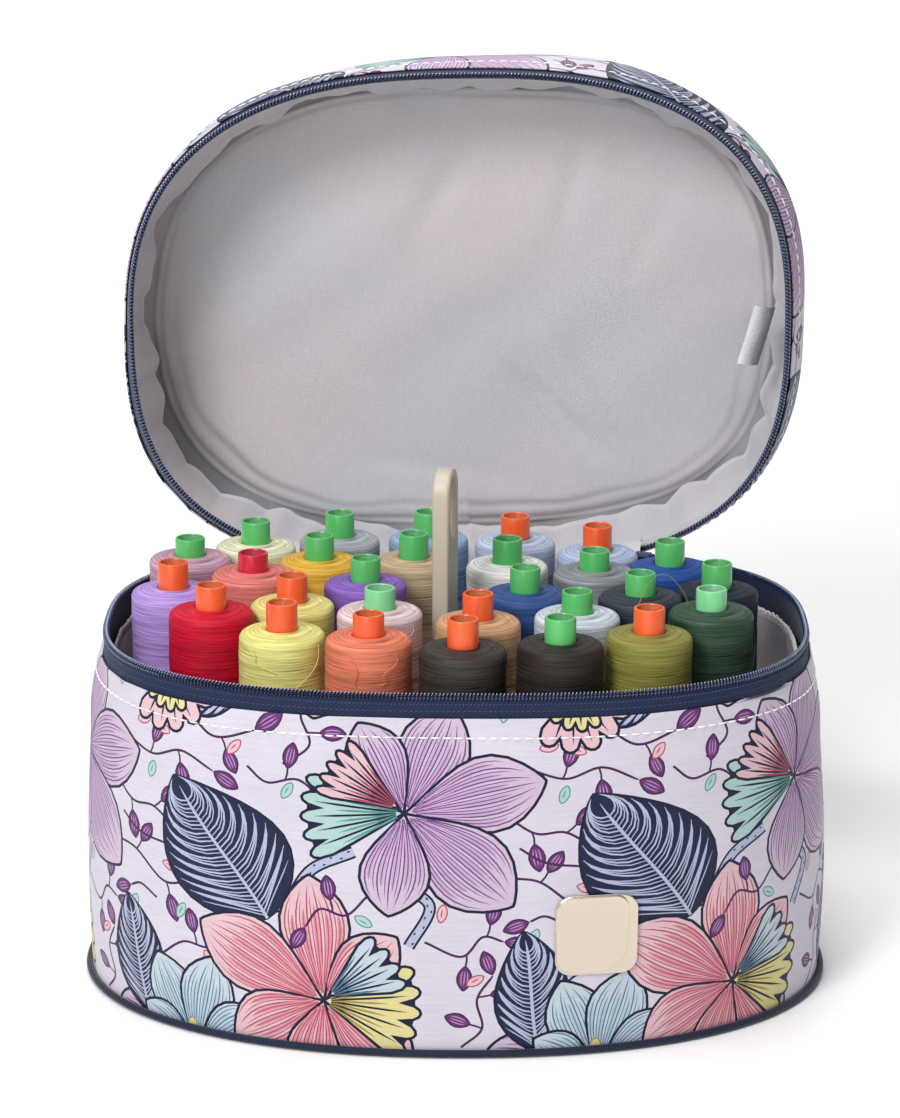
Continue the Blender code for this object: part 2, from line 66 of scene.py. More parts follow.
COVER_BOTTOM_Z, COVER_TOP_Z = 0.0009, 0.1370
TAPE_BOTTOM_Z, TAPE_TOP_Z = 0.1268, 0.1440
LINING_TOP_Z = 0.1340
FOLD_R = 0.0004
INSIDE, TAPE, COIL_R = 0.0014, 0.0008, 0.0013
LINING_INSET = 0.0053
FLOOR_Z = 0.0043

# Lid, in heights above its own rim
HINGE_Y, HINGE_Z = 0.1035, 0.1370
LID_RISE = RIM_Z + 0.0004 - HINGE_Z
LID_HEIGHT = 0.0690
LID_BULGE, LID_TAPER = 0.0030, 0.0030
LID_COVER_LOW, LID_COVER_HIGH = 0.0105, 0.0680
LID_TAPE_LOW, LID_TAPE_HIGH = 0.0034, 0.0200
LID_OPEN = math.radians(93.5)
# the open lid hangs out of true: it tilts and sags to the right, drops, and stretches up and sideways
LID_TILT, LID_SAG, LID_DROP = 0.0161, 0.0276, 0.0056
LID_STRETCH_UP, LID_STRETCH_ACROSS = 1.0430, 1.0110
LID_SHIFT, LID_BOW, LID_SHEAR = 0.0006, 0.0195, 0.055

# Angles to each side of the middle of the back
ZIP_END = math.radians(30)
HINGE_END = math.radians(27) + 0.07

REEL_HEIGHT = 0.0738
BACK = math.pi / 2


# ---------------------------------------------------------------- the case's and the lid's shapes
def oval(angle, half_x, half_y, power):
    """Points of an oval: power 2 is an ellipse, and a higher one is squarer."""
    c, s = np.cos(angle), np.sin(angle)
    reach = (np.abs(c) ** power + np.abs(s) ** power) ** (-1 / power)
    return half_x * reach * c, half_y * reach * s


def through(z, heights, values):
    """The parabola through three values at three heights."""
    total = 0
    for i, value in enumerate(values):
        for j, other in enumerate(heights):
            if i != j:
                value = value * (z - other) / (heights[i] - other)
        total = total + value
    return total


def bell(off, wide, power=2):
    """A smooth rise from 0 to 1 where off is 0."""
    return np.exp(-((off / wide) ** power))


def case_outline(z):
    """The case's half sizes and squareness at a height."""
    half = [through(z, (0, BELLY_Z, RIM_Z), (BASE_HALF[i], BELLY_HALF[i], RIM_HALF[i])) for i in (0, 1)]
    return *half, BASE_POWER + (RIM_POWER - BASE_POWER) * z / RIM_Z


def apart(angle, other):
    """The turn between two directions, from 0 to half a turn."""
    return np.abs(np.angle(np.exp(1j * (angle - other))))


def lid_outline(z):
    """The lid's half sizes and squareness at a height above its rim."""
    share = z / LID_HEIGHT
    swell = 4 * LID_BULGE * share * (1 - share) - LID_TAPER * share
    return RIM_HALF[0] + swell, RIM_HALF[1] + swell, RIM_POWER + 0 * z


def wall(outline, angle, z, inset):
    """Points at height z, inside the outline by inset along its normal."""
    angle, z, inset = np.broadcast_arrays(*(np.asarray(q, float) for q in (angle, z, inset)))
    x, y = oval(angle, *outline(z))
    x1, y1 = oval(angle + 1e-4, *outline(z))
    x0, y0 = oval(angle - 1e-4, *outline(z))
    reach = np.hypot(x1 - x0, y1 - y0)
    return np.stack([x - inset * (y1 - y0) / reach, y + inset * (x1 - x0) / reach, z], -1)


def run_along(points):
    """The distance along a line to each of its points."""
    return np.concatenate([[0], np.cumsum(np.linalg.norm(np.diff(points, axis=0), axis=1))])


def girth(outline, z, steps=1440):
    """(total length, function from a distance round the oval to an angle). Distance 0 is the middle of the
    front, and it grows towards +X."""
    angles = np.linspace(-math.pi / 2, 1.5 * math.pi, steps + 1)
    points = wall(outline, angles, z, 0)
    run = run_along(points)
    return run[-1], lambda u: np.interp(np.mod(u, run[-1]), run, angles)


CASE_GIRTH, case_angle = girth(case_outline, 0.08)
LID_GIRTH, lid_angle = girth(lid_outline, 0.03)


def case_at(u, z, inset):
    """The case's wall at a distance u round it. The soft wall swells a little under the top seam."""
    angle = case_angle(u)
    soft = 0.0011 * bell(z - 0.118, 0.012) + 0.0006 * np.sin(angle * 7 + 1.3) * np.sin(z * 34)
    return wall(case_outline, angle, z, inset - soft * np.clip((COVER_TOP_Z - z) / 0.01, 0, 1))


def open_lid(points):
    """Takes points of the closed lid, in heights above its rim, to where they are when it is open."""
    x, y, z = np.moveaxis(np.asarray(points, float), -1, 0)
    depth = RIM_HALF[1]
    up = depth - y
    droop = LID_TILT * x - LID_SAG * x * x / RIM_HALF[0] - LID_DROP
    rise = up * LID_STRETCH_UP + droop + HINGE_Y - depth
    across = x * LID_STRETCH_ACROSS - LID_SHIFT + LID_BOW * y * y / depth + LID_SHEAR * z
    out = z + LID_RISE
    c, s = math.cos(LID_OPEN), math.sin(LID_OPEN)
    return np.stack([across, HINGE_Y - rise * c + out * s, HINGE_Z + rise * s + out * c], -1)


def lid_side(angle, z, inset):
    """A point on the closed lid's side. Its zip leans in over the rim, most at the left on the hinge side."""
    most = 0.0006 + 0.0028 * bell(apart(angle, 0.80 * math.pi), 0.85)
    lean = most * np.clip((LID_COVER_LOW - z) / LID_COVER_LOW, 0, 1)
    return wall(lid_outline, angle, z, inset + lean)


def lid_at(u, z, inset):
    """A point on the open lid's gusset, at a distance u round it."""
    return open_lid(lid_side(lid_angle(u), z, inset))


# ---------------------------------------------------------------- meshes
def build(
    name, points, faces, look, body, slot=None, stands_for=(), uv=None, inks_and_shades=None, normals=None, smooth=True
):
    """Adds a mesh to the scene and rides it on its body. uv is one pair for each face corner."""
    data = bpy.data.meshes.new(name)
    data.from_pydata(np.asarray(points, float).tolist(), [], [list(map(int, f)) for f in faces])
    if uv is not None:
        data.uv_layers.new(name="Cloth").data.foreach_set("uv", np.asarray(uv, np.float32).ravel())
    if inks_and_shades is not None:
        layer = data.color_attributes.new("Ink_and_shade", "FLOAT_COLOR", "CORNER")
        layer.data.foreach_set("color", np.asarray(inks_and_shades, np.float32).ravel())
    if smooth:
        data.shade_smooth()
    if normals is not None:
        data.normals_split_custom_set_from_vertices(np.asarray(normals, float).tolist())
    data.materials.append(look)
    made = bpy.data.objects.new(name, data)
    bpy.context.scene.collection.objects.link(made)
    if body:
        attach(made, body)
    if stands_for:
        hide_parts(*stands_for)
    return made


def lattice(rows, columns, closed=False, flip=False):
    """Faces of a grid of points in rows, with the row and column of each face corner."""
    faces, corners = [], []
    for i in range(rows - 1):
        for j in range(columns if closed else columns - 1):
            ring = [(i, j), (i, j + 1), (i + 1, j + 1), (i + 1, j)]
            ring = ring[::-1] if flip else ring
            faces.append([r * columns + c % columns for r, c in ring])
            corners.extend(ring)
    return faces, np.array(corners, float)


def band(name, surface, span, section, look, body, steps=360, closed=True, looped=False, **facts):
    """A surface swept round: section is the (z, inset) pairs from one edge of the sheet to the other, and
    looped joins its last to its first."""
    section = np.asarray(section, float)
    us = np.linspace(span[0], span[1], steps + 1)
    us = us[:-1] if closed else us
    points = surface(us[None, :], section[:, :1], section[:, 1:])
    rows = np.concatenate([section, section[: int(looped)]])
    faces, corners = lattice(len(rows), len(us), closed)
    faces = [[i % (len(section) * len(us)) for i in face] for face in faces]
    run = run_along(rows)
    uv = np.stack([span[0] + corners[:, 1] * (span[1] - span[0]) / steps, run[corners[:, 0].astype(int)]], 1)
    return build(name, points.reshape(-1, 3), faces, look, body, uv=uv, **facts)


def tube(points, across, upwards, sides=6, closed=True):
    """(points, faces) of a tube round a line, given the two half axes of its section at each point."""
    turns = np.linspace(0, 2 * math.pi, sides + 1)[:-1]
    c, s = np.cos(turns)[None, :, None], np.sin(turns)[None, :, None]
    rings = points[:, None] + c * across[:, None] + s * upwards[:, None]
    count = len(points)
    faces = []
    for i in range(count if closed else count - 1):
        k = (i + 1) % count
        for j in range(sides):
            m = (j + 1) % sides
            faces.append((i * sides + j, i * sides + m, k * sides + m, k * sides + j))
    if not closed:
        faces += [tuple(range(sides))[::-1], tuple((count - 1) * sides + j for j in range(sides))]
    return rings.reshape(-1, 3), faces


def frames(surface, us, z, inset):
    """Points on a surface with their unit directions: along it, up it and outwards."""
    here = surface(us, z, inset)
    along = surface(us + 1e-4, z, inset) - surface(us - 1e-4, z, inset)
    upwards = surface(us, z + 1e-4, inset) - surface(us, z - 1e-4, inset)
    along /= np.linalg.norm(along, axis=-1, keepdims=True)
    upwards /= np.linalg.norm(upwards, axis=-1, keepdims=True)
    out = np.cross(along, upwards)
    return here, along, upwards, out / np.linalg.norm(out, axis=-1, keepdims=True)


def gather(parts):
    """Joins several (points, faces) into one."""
    points, faces, start = [], [], 0
    for some, theirs in parts:
        points.append(some)
        faces += [tuple(start + i for i in face) for face in theirs]
        start += len(some)
    return np.concatenate(points), faces


def oriented(points, closed=True):
    """Unit directions along a line, and two across it."""
    along = np.roll(points, -1, 0) - np.roll(points, 1, 0) if closed else np.gradient(points, axis=0)
    along = along / (np.linalg.norm(along, axis=1)[:, None] + 1e-12)
    helper = np.where(np.abs(along[:, 2:]) < 0.9, [[0, 0, 1.0]], [[1.0, 0, 0]])
    across = np.cross(helper, along)
    across /= np.linalg.norm(across, axis=1)[:, None]
    return along, across, np.cross(along, across)


# ---------------------------------------------------------------- materials
class Look:
    """A procedural material round one Principled shader."""

    def __init__(self, name, colour=(0.5, 0.5, 0.5), roughness=0.6, **sockets):
        self.made = bpy.data.materials.new(name)
        self.made.use_nodes = True
        self.tree = self.made.node_tree
        self.shader = next(n for n in self.tree.nodes if n.type == "BSDF_PRINCIPLED")
        rgb = inked(colour) if isinstance(colour, str) else colour
        self.shader.inputs["Base Color"].default_value = (*rgb, 1)
        self.shader.inputs["Roughness"].default_value = roughness
        for key, value in sockets.items():
            self.shader.inputs[key.replace("_", " ")].default_value = value

    def node(self, kind, *inputs, output=0, **settings):
        """One output of a new node, with its inputs in order: each a link, a value, or None to leave it."""
        made = self.tree.nodes.new("ShaderNode" + kind)
        for key, value in settings.items():
            setattr(made, key, value)
        for i, value in enumerate(inputs):
            if value is None:
                continue
            if isinstance(value, bpy.types.NodeSocket):
                self.tree.links.new(value, made.inputs[i])
            else:
                made.inputs[i].default_value = value
        return made.outputs[output]

    def maths(self, operation, a, b=0.0, c=0.0):
        """A sum or other operation on values."""
        return self.node("Math", a, b, c, operation=operation)

    def cloth(self):
        """The flat cloth coordinates, in metres."""
        return self.node("UVMap", uv_map="Cloth")

    def stretched(self, vector, scale, turn=0.0):
        """Coordinates turned and scaled."""
        return self.node("Mapping", vector, (0, 0, 0), (0, 0, turn), scale)

    def noise(self, vector, scale, detail=2.0, rough=0.5):
        """Soft noise about 0.5."""
        made = self.tree.nodes.new("ShaderNodeTexNoise")
        made.inputs["Scale"].default_value = scale
        made.inputs["Detail"].default_value = detail
        made.inputs["Roughness"].default_value = rough
        self.tree.links.new(vector, made.inputs["Vector"])
        return made.outputs["Fac"]

    def parts(self, vector):
        """The three parts of a vector."""
        made = self.tree.nodes.new("ShaderNodeSeparateXYZ")
        self.tree.links.new(vector, made.inputs[0])
        return made.outputs

    def waves(self, vector, pitches, turn=0.0):
        """Two crossed sine waves, as (along, across) heights from -1 to 1."""
        along, across, _ = self.parts(self.stretched(vector, (*(2 * math.pi / p for p in pitches), 1), turn))
        return self.maths("SINE", along), self.maths("SINE", across)

    def spread(self, value, low, high, to_low, to_high):
        """A value's range from low to high, mapped to another."""
        return self.node("MapRange", value, low, high, to_low, to_high)

    def tinted(self, colour, share, other):
        """A colour mixed with another by a share."""
        made = self.tree.nodes.new("ShaderNodeMix")
        made.data_type = "RGBA"
        for socket, value in (("Factor_Float", share), ("A_Color", colour), ("B_Color", other)):
            target = next(i for i in made.inputs if i.identifier == socket)
            if isinstance(value, bpy.types.NodeSocket):
                self.tree.links.new(value, target)
            elif isinstance(value, str):
                target.default_value = (*inked(value), 1)
            else:
                target.default_value = value if isinstance(value, float) else (*value, 1)
        return next(o for o in made.outputs if o.identifier == "Result_Color")

    def shaded(self, colour, by):
        """A colour made lighter or darker by a factor."""
        made = self.tree.nodes.new("ShaderNodeVectorMath")
        made.operation = "SCALE"
        self.tree.links.new(colour, made.inputs[0])
        self.tree.links.new(by, made.inputs["Scale"])
        return made.outputs[0]

    def colour(self, socket):
        self.tree.links.new(socket, self.shader.inputs["Base Color"])

    def rough(self, socket):
        self.tree.links.new(socket, self.shader.inputs["Roughness"])

    def bump(self, height, distance, strength):
        """Adds small relief to the surface."""
        made = self.tree.nodes.new("ShaderNodeBump")
        made.inputs["Strength"].default_value = strength
        made.inputs["Distance"].default_value = distance
        self.tree.links.new(height, made.inputs["Height"])
        before = self.shader.inputs["Normal"].links
        if before:
            self.tree.links.new(before[0].from_socket, made.inputs["Normal"])
        self.tree.links.new(made.outputs[0], self.shader.inputs["Normal"])


# ---------------------------------------------------------------- printed fabric
# The print is a generic botanical repeat, drawn as flat shapes in millimetres and cut into the cloth's
# own mesh, so that every line stays sharp. One repeat is TILE_W wide and TILE_H tall.
TILE_W, TILE_H = CASE_GIRTH * 1000 / 5, 150.0
LINE = 0.58
INKS = {
    "ground": "e9e3f1",
    "navy": "12183a",
    "leaf": "1a2348",
    "vein": "c3cbe6",
    "lilac": "e0cbe3",
    "lilac_wash": "d3b5da",
    "lilac_line": "80488f",
    "coral": "f4ccd4",
    "coral_wash": "ec9dab",
    "coral_line": "bb4f68",
    "purple": "713579",
    "purple_pale": "c79ad0",
    "plum": "4f2259",
    "mint": "bfe0dc",
    "mint_line": "5fa39a",
    "yellow": "f0e6a2",
    "yellow_line": "b09b4e",
    "sky": "d3e2ec",
    "sky_wash": "bcd4e2",
    "sky_line": "5a7f9f",
}


def offset(points, by):
    """A closed outline moved outwards by a distance."""
    p = np.asarray(points, float)
    ahead, behind = np.roll(p, -1, 0) - p, p - np.roll(p, 1, 0)
    ahead /= np.linalg.norm(ahead, axis=1)[:, None] + 1e-9
    behind /= np.linalg.norm(behind, axis=1)[:, None] + 1e-9
    n = np.stack([ahead[:, 1] + behind[:, 1], -(ahead[:, 0] + behind[:, 0])], 1)
    n /= np.linalg.norm(n, axis=1)[:, None] + 1e-9
    corner = np.clip((n * np.stack([ahead[:, 1], -ahead[:, 0]], 1)).sum(1), 0.45, 1)
    moved = p + n * (by / corner)[:, None]
    # where the shape is narrower than the move, points cross over, and are dropped
    run = np.roll(p, -1, 0) - p
    share = ((moved[:, None] - p) * run).sum(2) / ((run * run).sum(1) + 1e-12)
    nearest = p + np.clip(share, 0, 1)[..., None] * run
    clear = np.linalg.norm(moved[:, None] - nearest, axis=2).min(1) > abs(by) * 0.93
    return moved[clear]


def ribbon(points, width, ends=(0.15, 0.15)):
    """A brush stroke along a line, with tapered ends: each end is a share of the full width."""
    p = np.asarray(points, float)
    along = np.gradient(p, axis=0)
    along /= np.linalg.norm(along, axis=1)[:, None] + 1e-9
    side = np.stack([-along[:, 1], along[:, 0]], 1)
    t = np.linspace(0, 1, len(p))
    swell = np.minimum(1, np.minimum(ends[0] + 6 * t, ends[1] + 6 * (1 - t)))
    half = (width / 2 * swell)[:, None]
    return np.concatenate([p - side * half, (p + side * half)[::-1]])


def curve(points, steps=10):
    """A smooth line through the points."""
    p = [np.array(q, float) for q in points]
    p = [2 * p[0] - p[1], *p, 2 * p[-1] - p[-2]]
    line = []
    for a, b, c, d in zip(p, p[1:], p[2:], p[3:]):
        for i in range(steps):
            t = i / steps
            square, cube = 2 * a - 5 * b + 4 * c - d, 3 * b - a - 3 * c + d
            line.append(0.5 * (2 * b + (c - a) * t + square * t * t + cube * t**3))
    return np.array([*line, p[-2]])


def blade(at, turn, length, width, wide=0.6, blunt=0.8, bend=0.0):
    """The shape of a petal or leaf, as a function of the share along it and the share across it."""
    c, s = math.cos(math.radians(turn)), math.sin(math.radians(turn))
    power = math.log(0.5) / math.log(wide)

    def point(t, f):
        w = width / 2 * max(math.sin(math.pi * min(max(t, 0), 1) ** power), 0) ** blunt
        x, y = length * t, f * w + bend * length * math.sin(math.pi / 2 * t) ** 2
        return (at[0] + c * x - s * y, at[1] + s * x + c * y)

    return point


def edge_of(point, steps=13):
    """The outline of a petal or leaf."""
    shares = [(1 - math.cos(math.pi * i / steps)) / 2 for i in range(steps + 1)]
    return [point(t, -1) for t in shares] + [point(t, 1) for t in reversed(shares[1:-1])]


class Print:
    """The flat artwork: shapes in painting order."""

    def __init__(self):
        self.shapes = []

    def add(self, points, ink):
        self.shapes.append((np.asarray(points, float), ink))

    def outlined(self, points, fill, line="navy", width=LINE * 2):
        self.add(offset(points, width / 2), line)
        self.add(offset(points, -width / 2), fill)

    def petal(self, at, turn, length, width, tint, lines=9, **shape):
        point = blade(at, turn, length, width, **shape)
        self.outlined(edge_of(point), tint)
        for k in range(lines):
            f = -0.84 + 1.68 * k / (lines - 1)
            start = 0.05 + 0.03 * ((k * 7) % 3) + 0.05 * abs(f)
            stop = 0.95 - 0.09 * ((k * 5) % 3) - 0.12 * abs(f)
            line = [point(start + (stop - start) * i / 9, f) for i in range(10)]
            if k % 3 == 1:
                self.add(ribbon(line, width * 0.055 + 0.4, (0.3, 0.1)), tint + "_wash")
            self.add(ribbon(line, LINE * (0.72 if k % 3 else 1.05), (0.9, 0.1)), tint + "_line")

    def flower(self, at, tint, petals):
        """Petals round a point: each one's direction, length and width."""
        for turn, length, width in petals:
            self.petal(at, turn, length, width, tint, lines=max(7, round(width / 1.75)))

    def heart(self, at, turn, reach, tint, lobes=5, spread=150):
        """A fluted trumpet with a scalloped rim, at a flower's centre."""
        edge = [at]
        for i in range(lobes * 6 + 1):
            a = math.radians(turn - spread / 2 + spread * i / (lobes * 6))
            r = reach * (0.80 + 0.20 * abs(math.sin(math.pi * i / 6)) ** 0.6)
            edge.append((at[0] + r * math.cos(a), at[1] + r * math.sin(a)))
        self.outlined(edge, tint)
        for k in range(lobes * 2 + 1):
            a = math.radians(turn - spread / 2 * 0.86 + spread * 0.86 * k / (lobes * 2))
            stop = 0.86 if k % 2 else 0.66
            shares = np.linspace(0.08, stop, 5)
            line = [(at[0] + reach * r * math.cos(a), at[1] + reach * r * math.sin(a)) for r in shares]
            self.add(ribbon(line, LINE * 1.5, (1.0, 0.15)), "navy" if k % 2 else tint + "_line")

    def leaf(self, at, turn, length, width, pairs=12, **shape):
        point = blade(at, turn, length, width, **shape)
        self.add(offset(edge_of(point, 16), LINE), "navy")
        self.add(offset(edge_of(point, 16), -LINE * 0.6), "leaf")
        for side in (-1, 1):
            for k in range(pairs):
                t = 0.02 + 0.84 * k / pairs
                reach = min(t + 0.24 + 0.03 * ((k * 5) % 3), 0.985)
                line = []
                for i in range(7):
                    q = i / 6
                    line.append(point(t + (reach - t) * q**1.3, side * (0.03 + 0.89 * q**0.8)))
                self.add(ribbon(line, LINE * (1.25 if k % 2 else 0.8), (0.7, 0.15)), "vein")
        self.add(ribbon([point(i / 14, 0) for i in range(14)], LINE * 2.2, (1.0, 0.15)), "vein")

    def bud(self, at, turn, size=8.0, ink="purple"):
        point = blade(at, turn, size, size * 0.56, wide=0.5, blunt=0.75)
        self.outlined(edge_of(point, 8), ink, "plum", LINE * 1.2)
        for f in (-0.45, 0, 0.45):
            self.add(ribbon([point(0.18 + 0.62 * i / 4, f) for i in range(5)], LINE * 0.8), "purple_pale")

    def sprig(self, line, buds, width=1.0):
        """A thin stem with buds on short stalks: (share along the stem, turn, size)."""
        path = curve(line)
        self.add(ribbon(path, width, (1.0, 0.6)), "plum")
        for share, turn, size in buds:
            at = path[round(share * (len(path) - 1))]
            stalk = 5.0 if share < 1 else 0.6
            tip = at + stalk * np.array([math.cos(math.radians(turn)), math.sin(math.radians(turn))])
            if share < 1:
                self.add(ribbon([at, (at + tip) / 2 + (0.3, 0), tip], width * 0.8, (1.0, 1.0)), "plum")
            self.bud(tip, turn, size * 1.12)

    def seed(self, at, turn, tint, size=6.5):
        point = blade(at, turn, size, size * 0.52, wide=0.5, blunt=0.6)
        self.outlined(edge_of(point, 6), tint, tint + "_line", LINE * 0.9)
        self.add(ribbon([point(0.25 + 0.5 * i / 3, 0.1) for i in range(4)], LINE * 0.9), tint + "_line")

    def stem(self, line, width=3.2):
        """A pale, dotted stem with a dark outline."""
        path = curve(line)
        self.add(ribbon(path, width + LINE * 2.4, (1.0, 1.0)), "navy")
        self.add(ribbon(path, width - LINE * 0.6, (1.0, 1.0)), "vein")
        along = np.gradient(path, axis=0)
        for i in range(1, len(path) - 1, 2):
            step = along[i] / (np.linalg.norm(along[i]) + 1e-9)
            across = np.array([-step[1], step[0]]) * width * (0.22 if i % 4 == 1 else -0.22)
            dot = path[i] + across
            self.add(ribbon([dot - step * 0.55, dot, dot + step * 0.55], 0.7, (0.7, 0.7)), "navy")


def draw_tile():
    """One repeat of the print."""
    art = Print()
    # thin budding stems first, so that the flowers cover their ends
    for line, buds in (
        ([(60, 104), (72, 96), (84, 96), (96, 88)], [(0.3, -80, 10), (0.66, 40, 10), (1, -25, 11)]),
        ([(62, 78), (74, 76), (88, 66), (100, 68)], [(0.35, 55, 9), (0.7, -75, 10), (1, 20, 11)]),
        ([(66, 90), (76, 84), (90, 82)], [(1, 10, 10)]),
        ([(30, 52), (44, 46), (52, 54), (60, 52)], [(0.4, -95, 9), (0.72, 75, 9), (1, -10, 9)]),
        ([(70, 122), (84, 118), (98, 122), (112, 116)], [(0.3, 70, 9), (0.62, -80, 10), (1, -30, 10)]),
        ([(84, 136), (98, 138), (112, 130), (128, 134)], [(0.5, 95, 8), (0.75, -65, 9), (1, 35, 11)]),
        ([(140, 122), (150, 130), (146, 142), (154, 150)], [(0.45, 0, 9), (1, 60, 9)]),
        ([(126, 120), (134, 114), (146, 116), (156, 108)], [(0.55, 80, 9), (1, -45, 10)]),
        ([(84, 34), (96, 42), (108, 42), (116, 52)], [(0.5, 100, 9), (1, 70, 10)]),
        ([(84, 58), (76, 62), (70, 60)], [(1, 200, 9)]),
        ([(44, 8), (52, 16), (50, 28), (56, 38)], [(0.35, 160, 9), (0.7, 10, 8), (1, 110, 9)]),
        ([(8, 70), (0, 62), (-10, 64), (-16, 56)], [(0.5, 100, 9), (1, -120, 9)]),
    ):
        art.sprig(line, buds)
    art.stem([(129, 60), (142, 66), (152, 80), (168, 88)], 3.6)
    art.stem([(104, 6), (118, 16), (128, 12), (146, 22)], 4.2)
    art.stem([(68, 4), (78, 10), (86, 2), (96, 4)], 3.0)
    art.stem([(30, 92), (24, 76), (32, 66), (24, 50)], 3.4)
    for at, turn, tint in (
        ((58, 68), 40, "mint"), ((104, 100), 110, "mint"), ((82, 108), 70, "mint"), ((70, 50), 65, "mint"),
        ((104, 78), 15, "coral"), ((88, 74), -15, "coral"), ((52, 88), 100, "coral"), ((46, 34), 30, "coral"),
        ((94, 52), 60, "mint"), ((74, 130), 10, "coral"), ((140, 108), 60, "mint"), ((36, 60), 80, "coral"),
        ((110, 34), 125, "coral"), ((132, 144), 30, "mint"), ((10, 58), 150, "mint"), ((62, 30), 95, "mint"),
        ((118, 124), 50, "coral"), ((60, 140), 80, "mint"), ((92, 128), 160, "coral"),
    ):
        art.seed(at, turn, tint, 7.5)
    # leaves
    art.leaf((134, 58), 121, 66, 52, pairs=30, wide=0.42, bend=0.10)
    art.leaf((74, 6), 103, 50, 29, pairs=24, wide=0.46, bend=-0.10)
    art.leaf((122, 148), 188, 30, 18, pairs=16, wide=0.5)
    # pale blue blossom near the hem
    art.flower((98, -4), "sky", ((112, 42, 24), (74, 44, 25), (34, 38, 22), (150, 30, 18)))
    art.seed((97, -2), 90, "yellow", 12)
    # coral blossom
    petals = ((96, 52, 28), (152, 58, 32), (208, 44, 28), (262, 36, 26), (318, 46, 27), (44, 40, 24))
    art.flower((156, 26), "coral", petals)
    art.heart((156, 26), -6, 38, "yellow", 5, 70)
    art.heart((158, 28), 34, 31, "sky", 4, 56)
    # lilac blossom
    petals = ((66, 46, 28), (14, 56, 31), (-42, 56, 33), (-98, 42, 27), (118, 40, 24))
    art.flower((22, 104), "lilac", petals)
    art.heart((22, 104), 184, 40, "mint", 5, 58)
    art.heart((20, 106), 148, 33, "coral", 5, 50)
    # frilled bloom high on the cloth
    art.heart((88, 152), -72, 24, "coral", 5, 120)
    art.heart((90, 152), -98, 16, "yellow", 4, 90)
    art.petal((92, 150), 14, 30, 18, "lilac")
    art.petal((84, 152), 170, 30, 18, "lilac")
    return art.shapes


def inked(colour):
    """A web colour as linear RGB."""
    rgb = [int(colour[i : i + 2], 16) / 255 for i in (0, 2, 4)]
    return [c / 12.92 if c <= 0.04045 else ((c + 0.055) / 1.055) ** 2.4 for c in rgb]


def inside(outline, points):
    """Which points lie within a closed outline."""
    a, b = outline, np.roll(outline, -1, 0)
    x, y = points[:, :1], points[:, 1:]
    rise = np.where(a[:, 1] == b[:, 1], 1e-9, b[:, 1] - a[:, 1])
    crossing = ((a[:, 1] > y) != (b[:, 1] > y)) & (x < a[:, 0] + (y - a[:, 1]) * (b[:, 0] - a[:, 0]) / rise)
    return crossing.sum(1) % 2 == 1


def cut_cloth(shapes, outline, creases=(), step=5.0):
    """Cuts the repeat's shapes into the flat outline: (points, triangles, ink of each triangle). creases are
    the heights at which the cloth bends sharply, where the mesh gets a level line."""
    outline = np.asarray(outline, float)
    low, high = outline.min(0), outline.max(0)
    placed = [(outline, "ground")]
    for i in range(math.floor(low[0] / TILE_W) - 1, math.floor(high[0] / TILE_W) + 2):
        for j in range(math.floor(low[1] / TILE_H) - 1, math.floor(high[1] / TILE_H) + 2):
            for shape, ink in shapes:
                moved = shape + (i * TILE_W, j * TILE_H)
                if (moved.max(0) > low).all() and (moved.min(0) < high).all():
                    placed.append((moved, ink))
    points, edges = [], []
    for shape, ink in placed:
        start, count = len(points), len(shape)
        points.extend(map(tuple, shape))
        edges.extend((start + k, start + (k + 1) % count) for k in range(count))
    for height in creases:
        edges.append((len(points), len(points) + 1))
        points.extend(((low[0], height), (high[0], height)))
    columns = max(2, round((high[0] - low[0]) / step))
    rows = max(2, round((high[1] - low[1]) / step))
    for i in range(columns + 1):
        for j in range(rows + 1):
            points.append((low[0] + (high[0] - low[0]) * i / columns, low[1] + (high[1] - low[1]) * j / rows))
    flat, _, triangles, _, _, _ = geometry.delaunay_2d_cdt([Vector(p) for p in points], edges, [], 0, 1e-3)
    flat, triangles = np.array([tuple(p) for p in flat]), np.array(triangles)
    # each triangle takes the ink of the last shape over it
    middles = flat[triangles].mean(1)
    order = np.argsort(middles[:, 0])
    across = middles[order, 0]
    top = np.full(len(triangles), -1)
    for k, (shape, ink) in enumerate(placed):
        left, right = np.searchsorted(across, (shape[:, 0].min(), shape[:, 0].max()))
        near = order[left:right]
        near = near[(middles[near, 1] > shape[:, 1].min()) & (middles[near, 1] < shape[:, 1].max())]
        top[near[inside(shape, middles[near])]] = k
    a, b, c = (flat[triangles[:, i]] for i in range(3))
    whole = np.abs(np.cross(b - a, c - a)) > 1e-7
    kept = whole & inside(outline, middles)
    used, triangles = np.unique(triangles[kept], return_inverse=True)
    return flat[used], triangles.reshape(-1, 3), [placed[k][1] for k in top[kept]]


# ---------------------------------------------------------------- looks
def print_look():
    """Coated woven polyester: the printed inks, a fine weave and a soft sheen."""
    shine = dict(Specular_IOR_Level=0.22, Sheen_Weight=0.05, Sheen_Roughness=0.5)
    look = Look("printed_cloth", roughness=0.5, **shine)
    cloth = look.cloth()
    ink = look.node("VertexColor", layer_name="Ink_and_shade")
    warp, weft = look.waves(cloth, (0.00075, 0.00085))
    weave = look.maths("MULTIPLY", warp, weft)
    rows = look.noise(look.stretched(cloth, (60, 900, 1)), 1.0, 2)
    patches = look.noise(cloth, 45, 3)
    tone = look.maths("ADD", look.maths("MULTIPLY", weave, 0.018), look.spread(rows, 0.3, 0.7, 0.675, 0.735))
    tone = look.maths("ADD", tone, look.spread(patches, 0.35, 0.65, -0.02, 0.015))
    look.colour(look.shaded(ink, tone))
    look.rough(look.spread(patches, 0.3, 0.7, 0.46, 0.56))
    look.bump(look.maths("ADD", weave, look.maths("MULTIPLY", rows, 2.0)), 0.00010, 0.35)
    return look.made


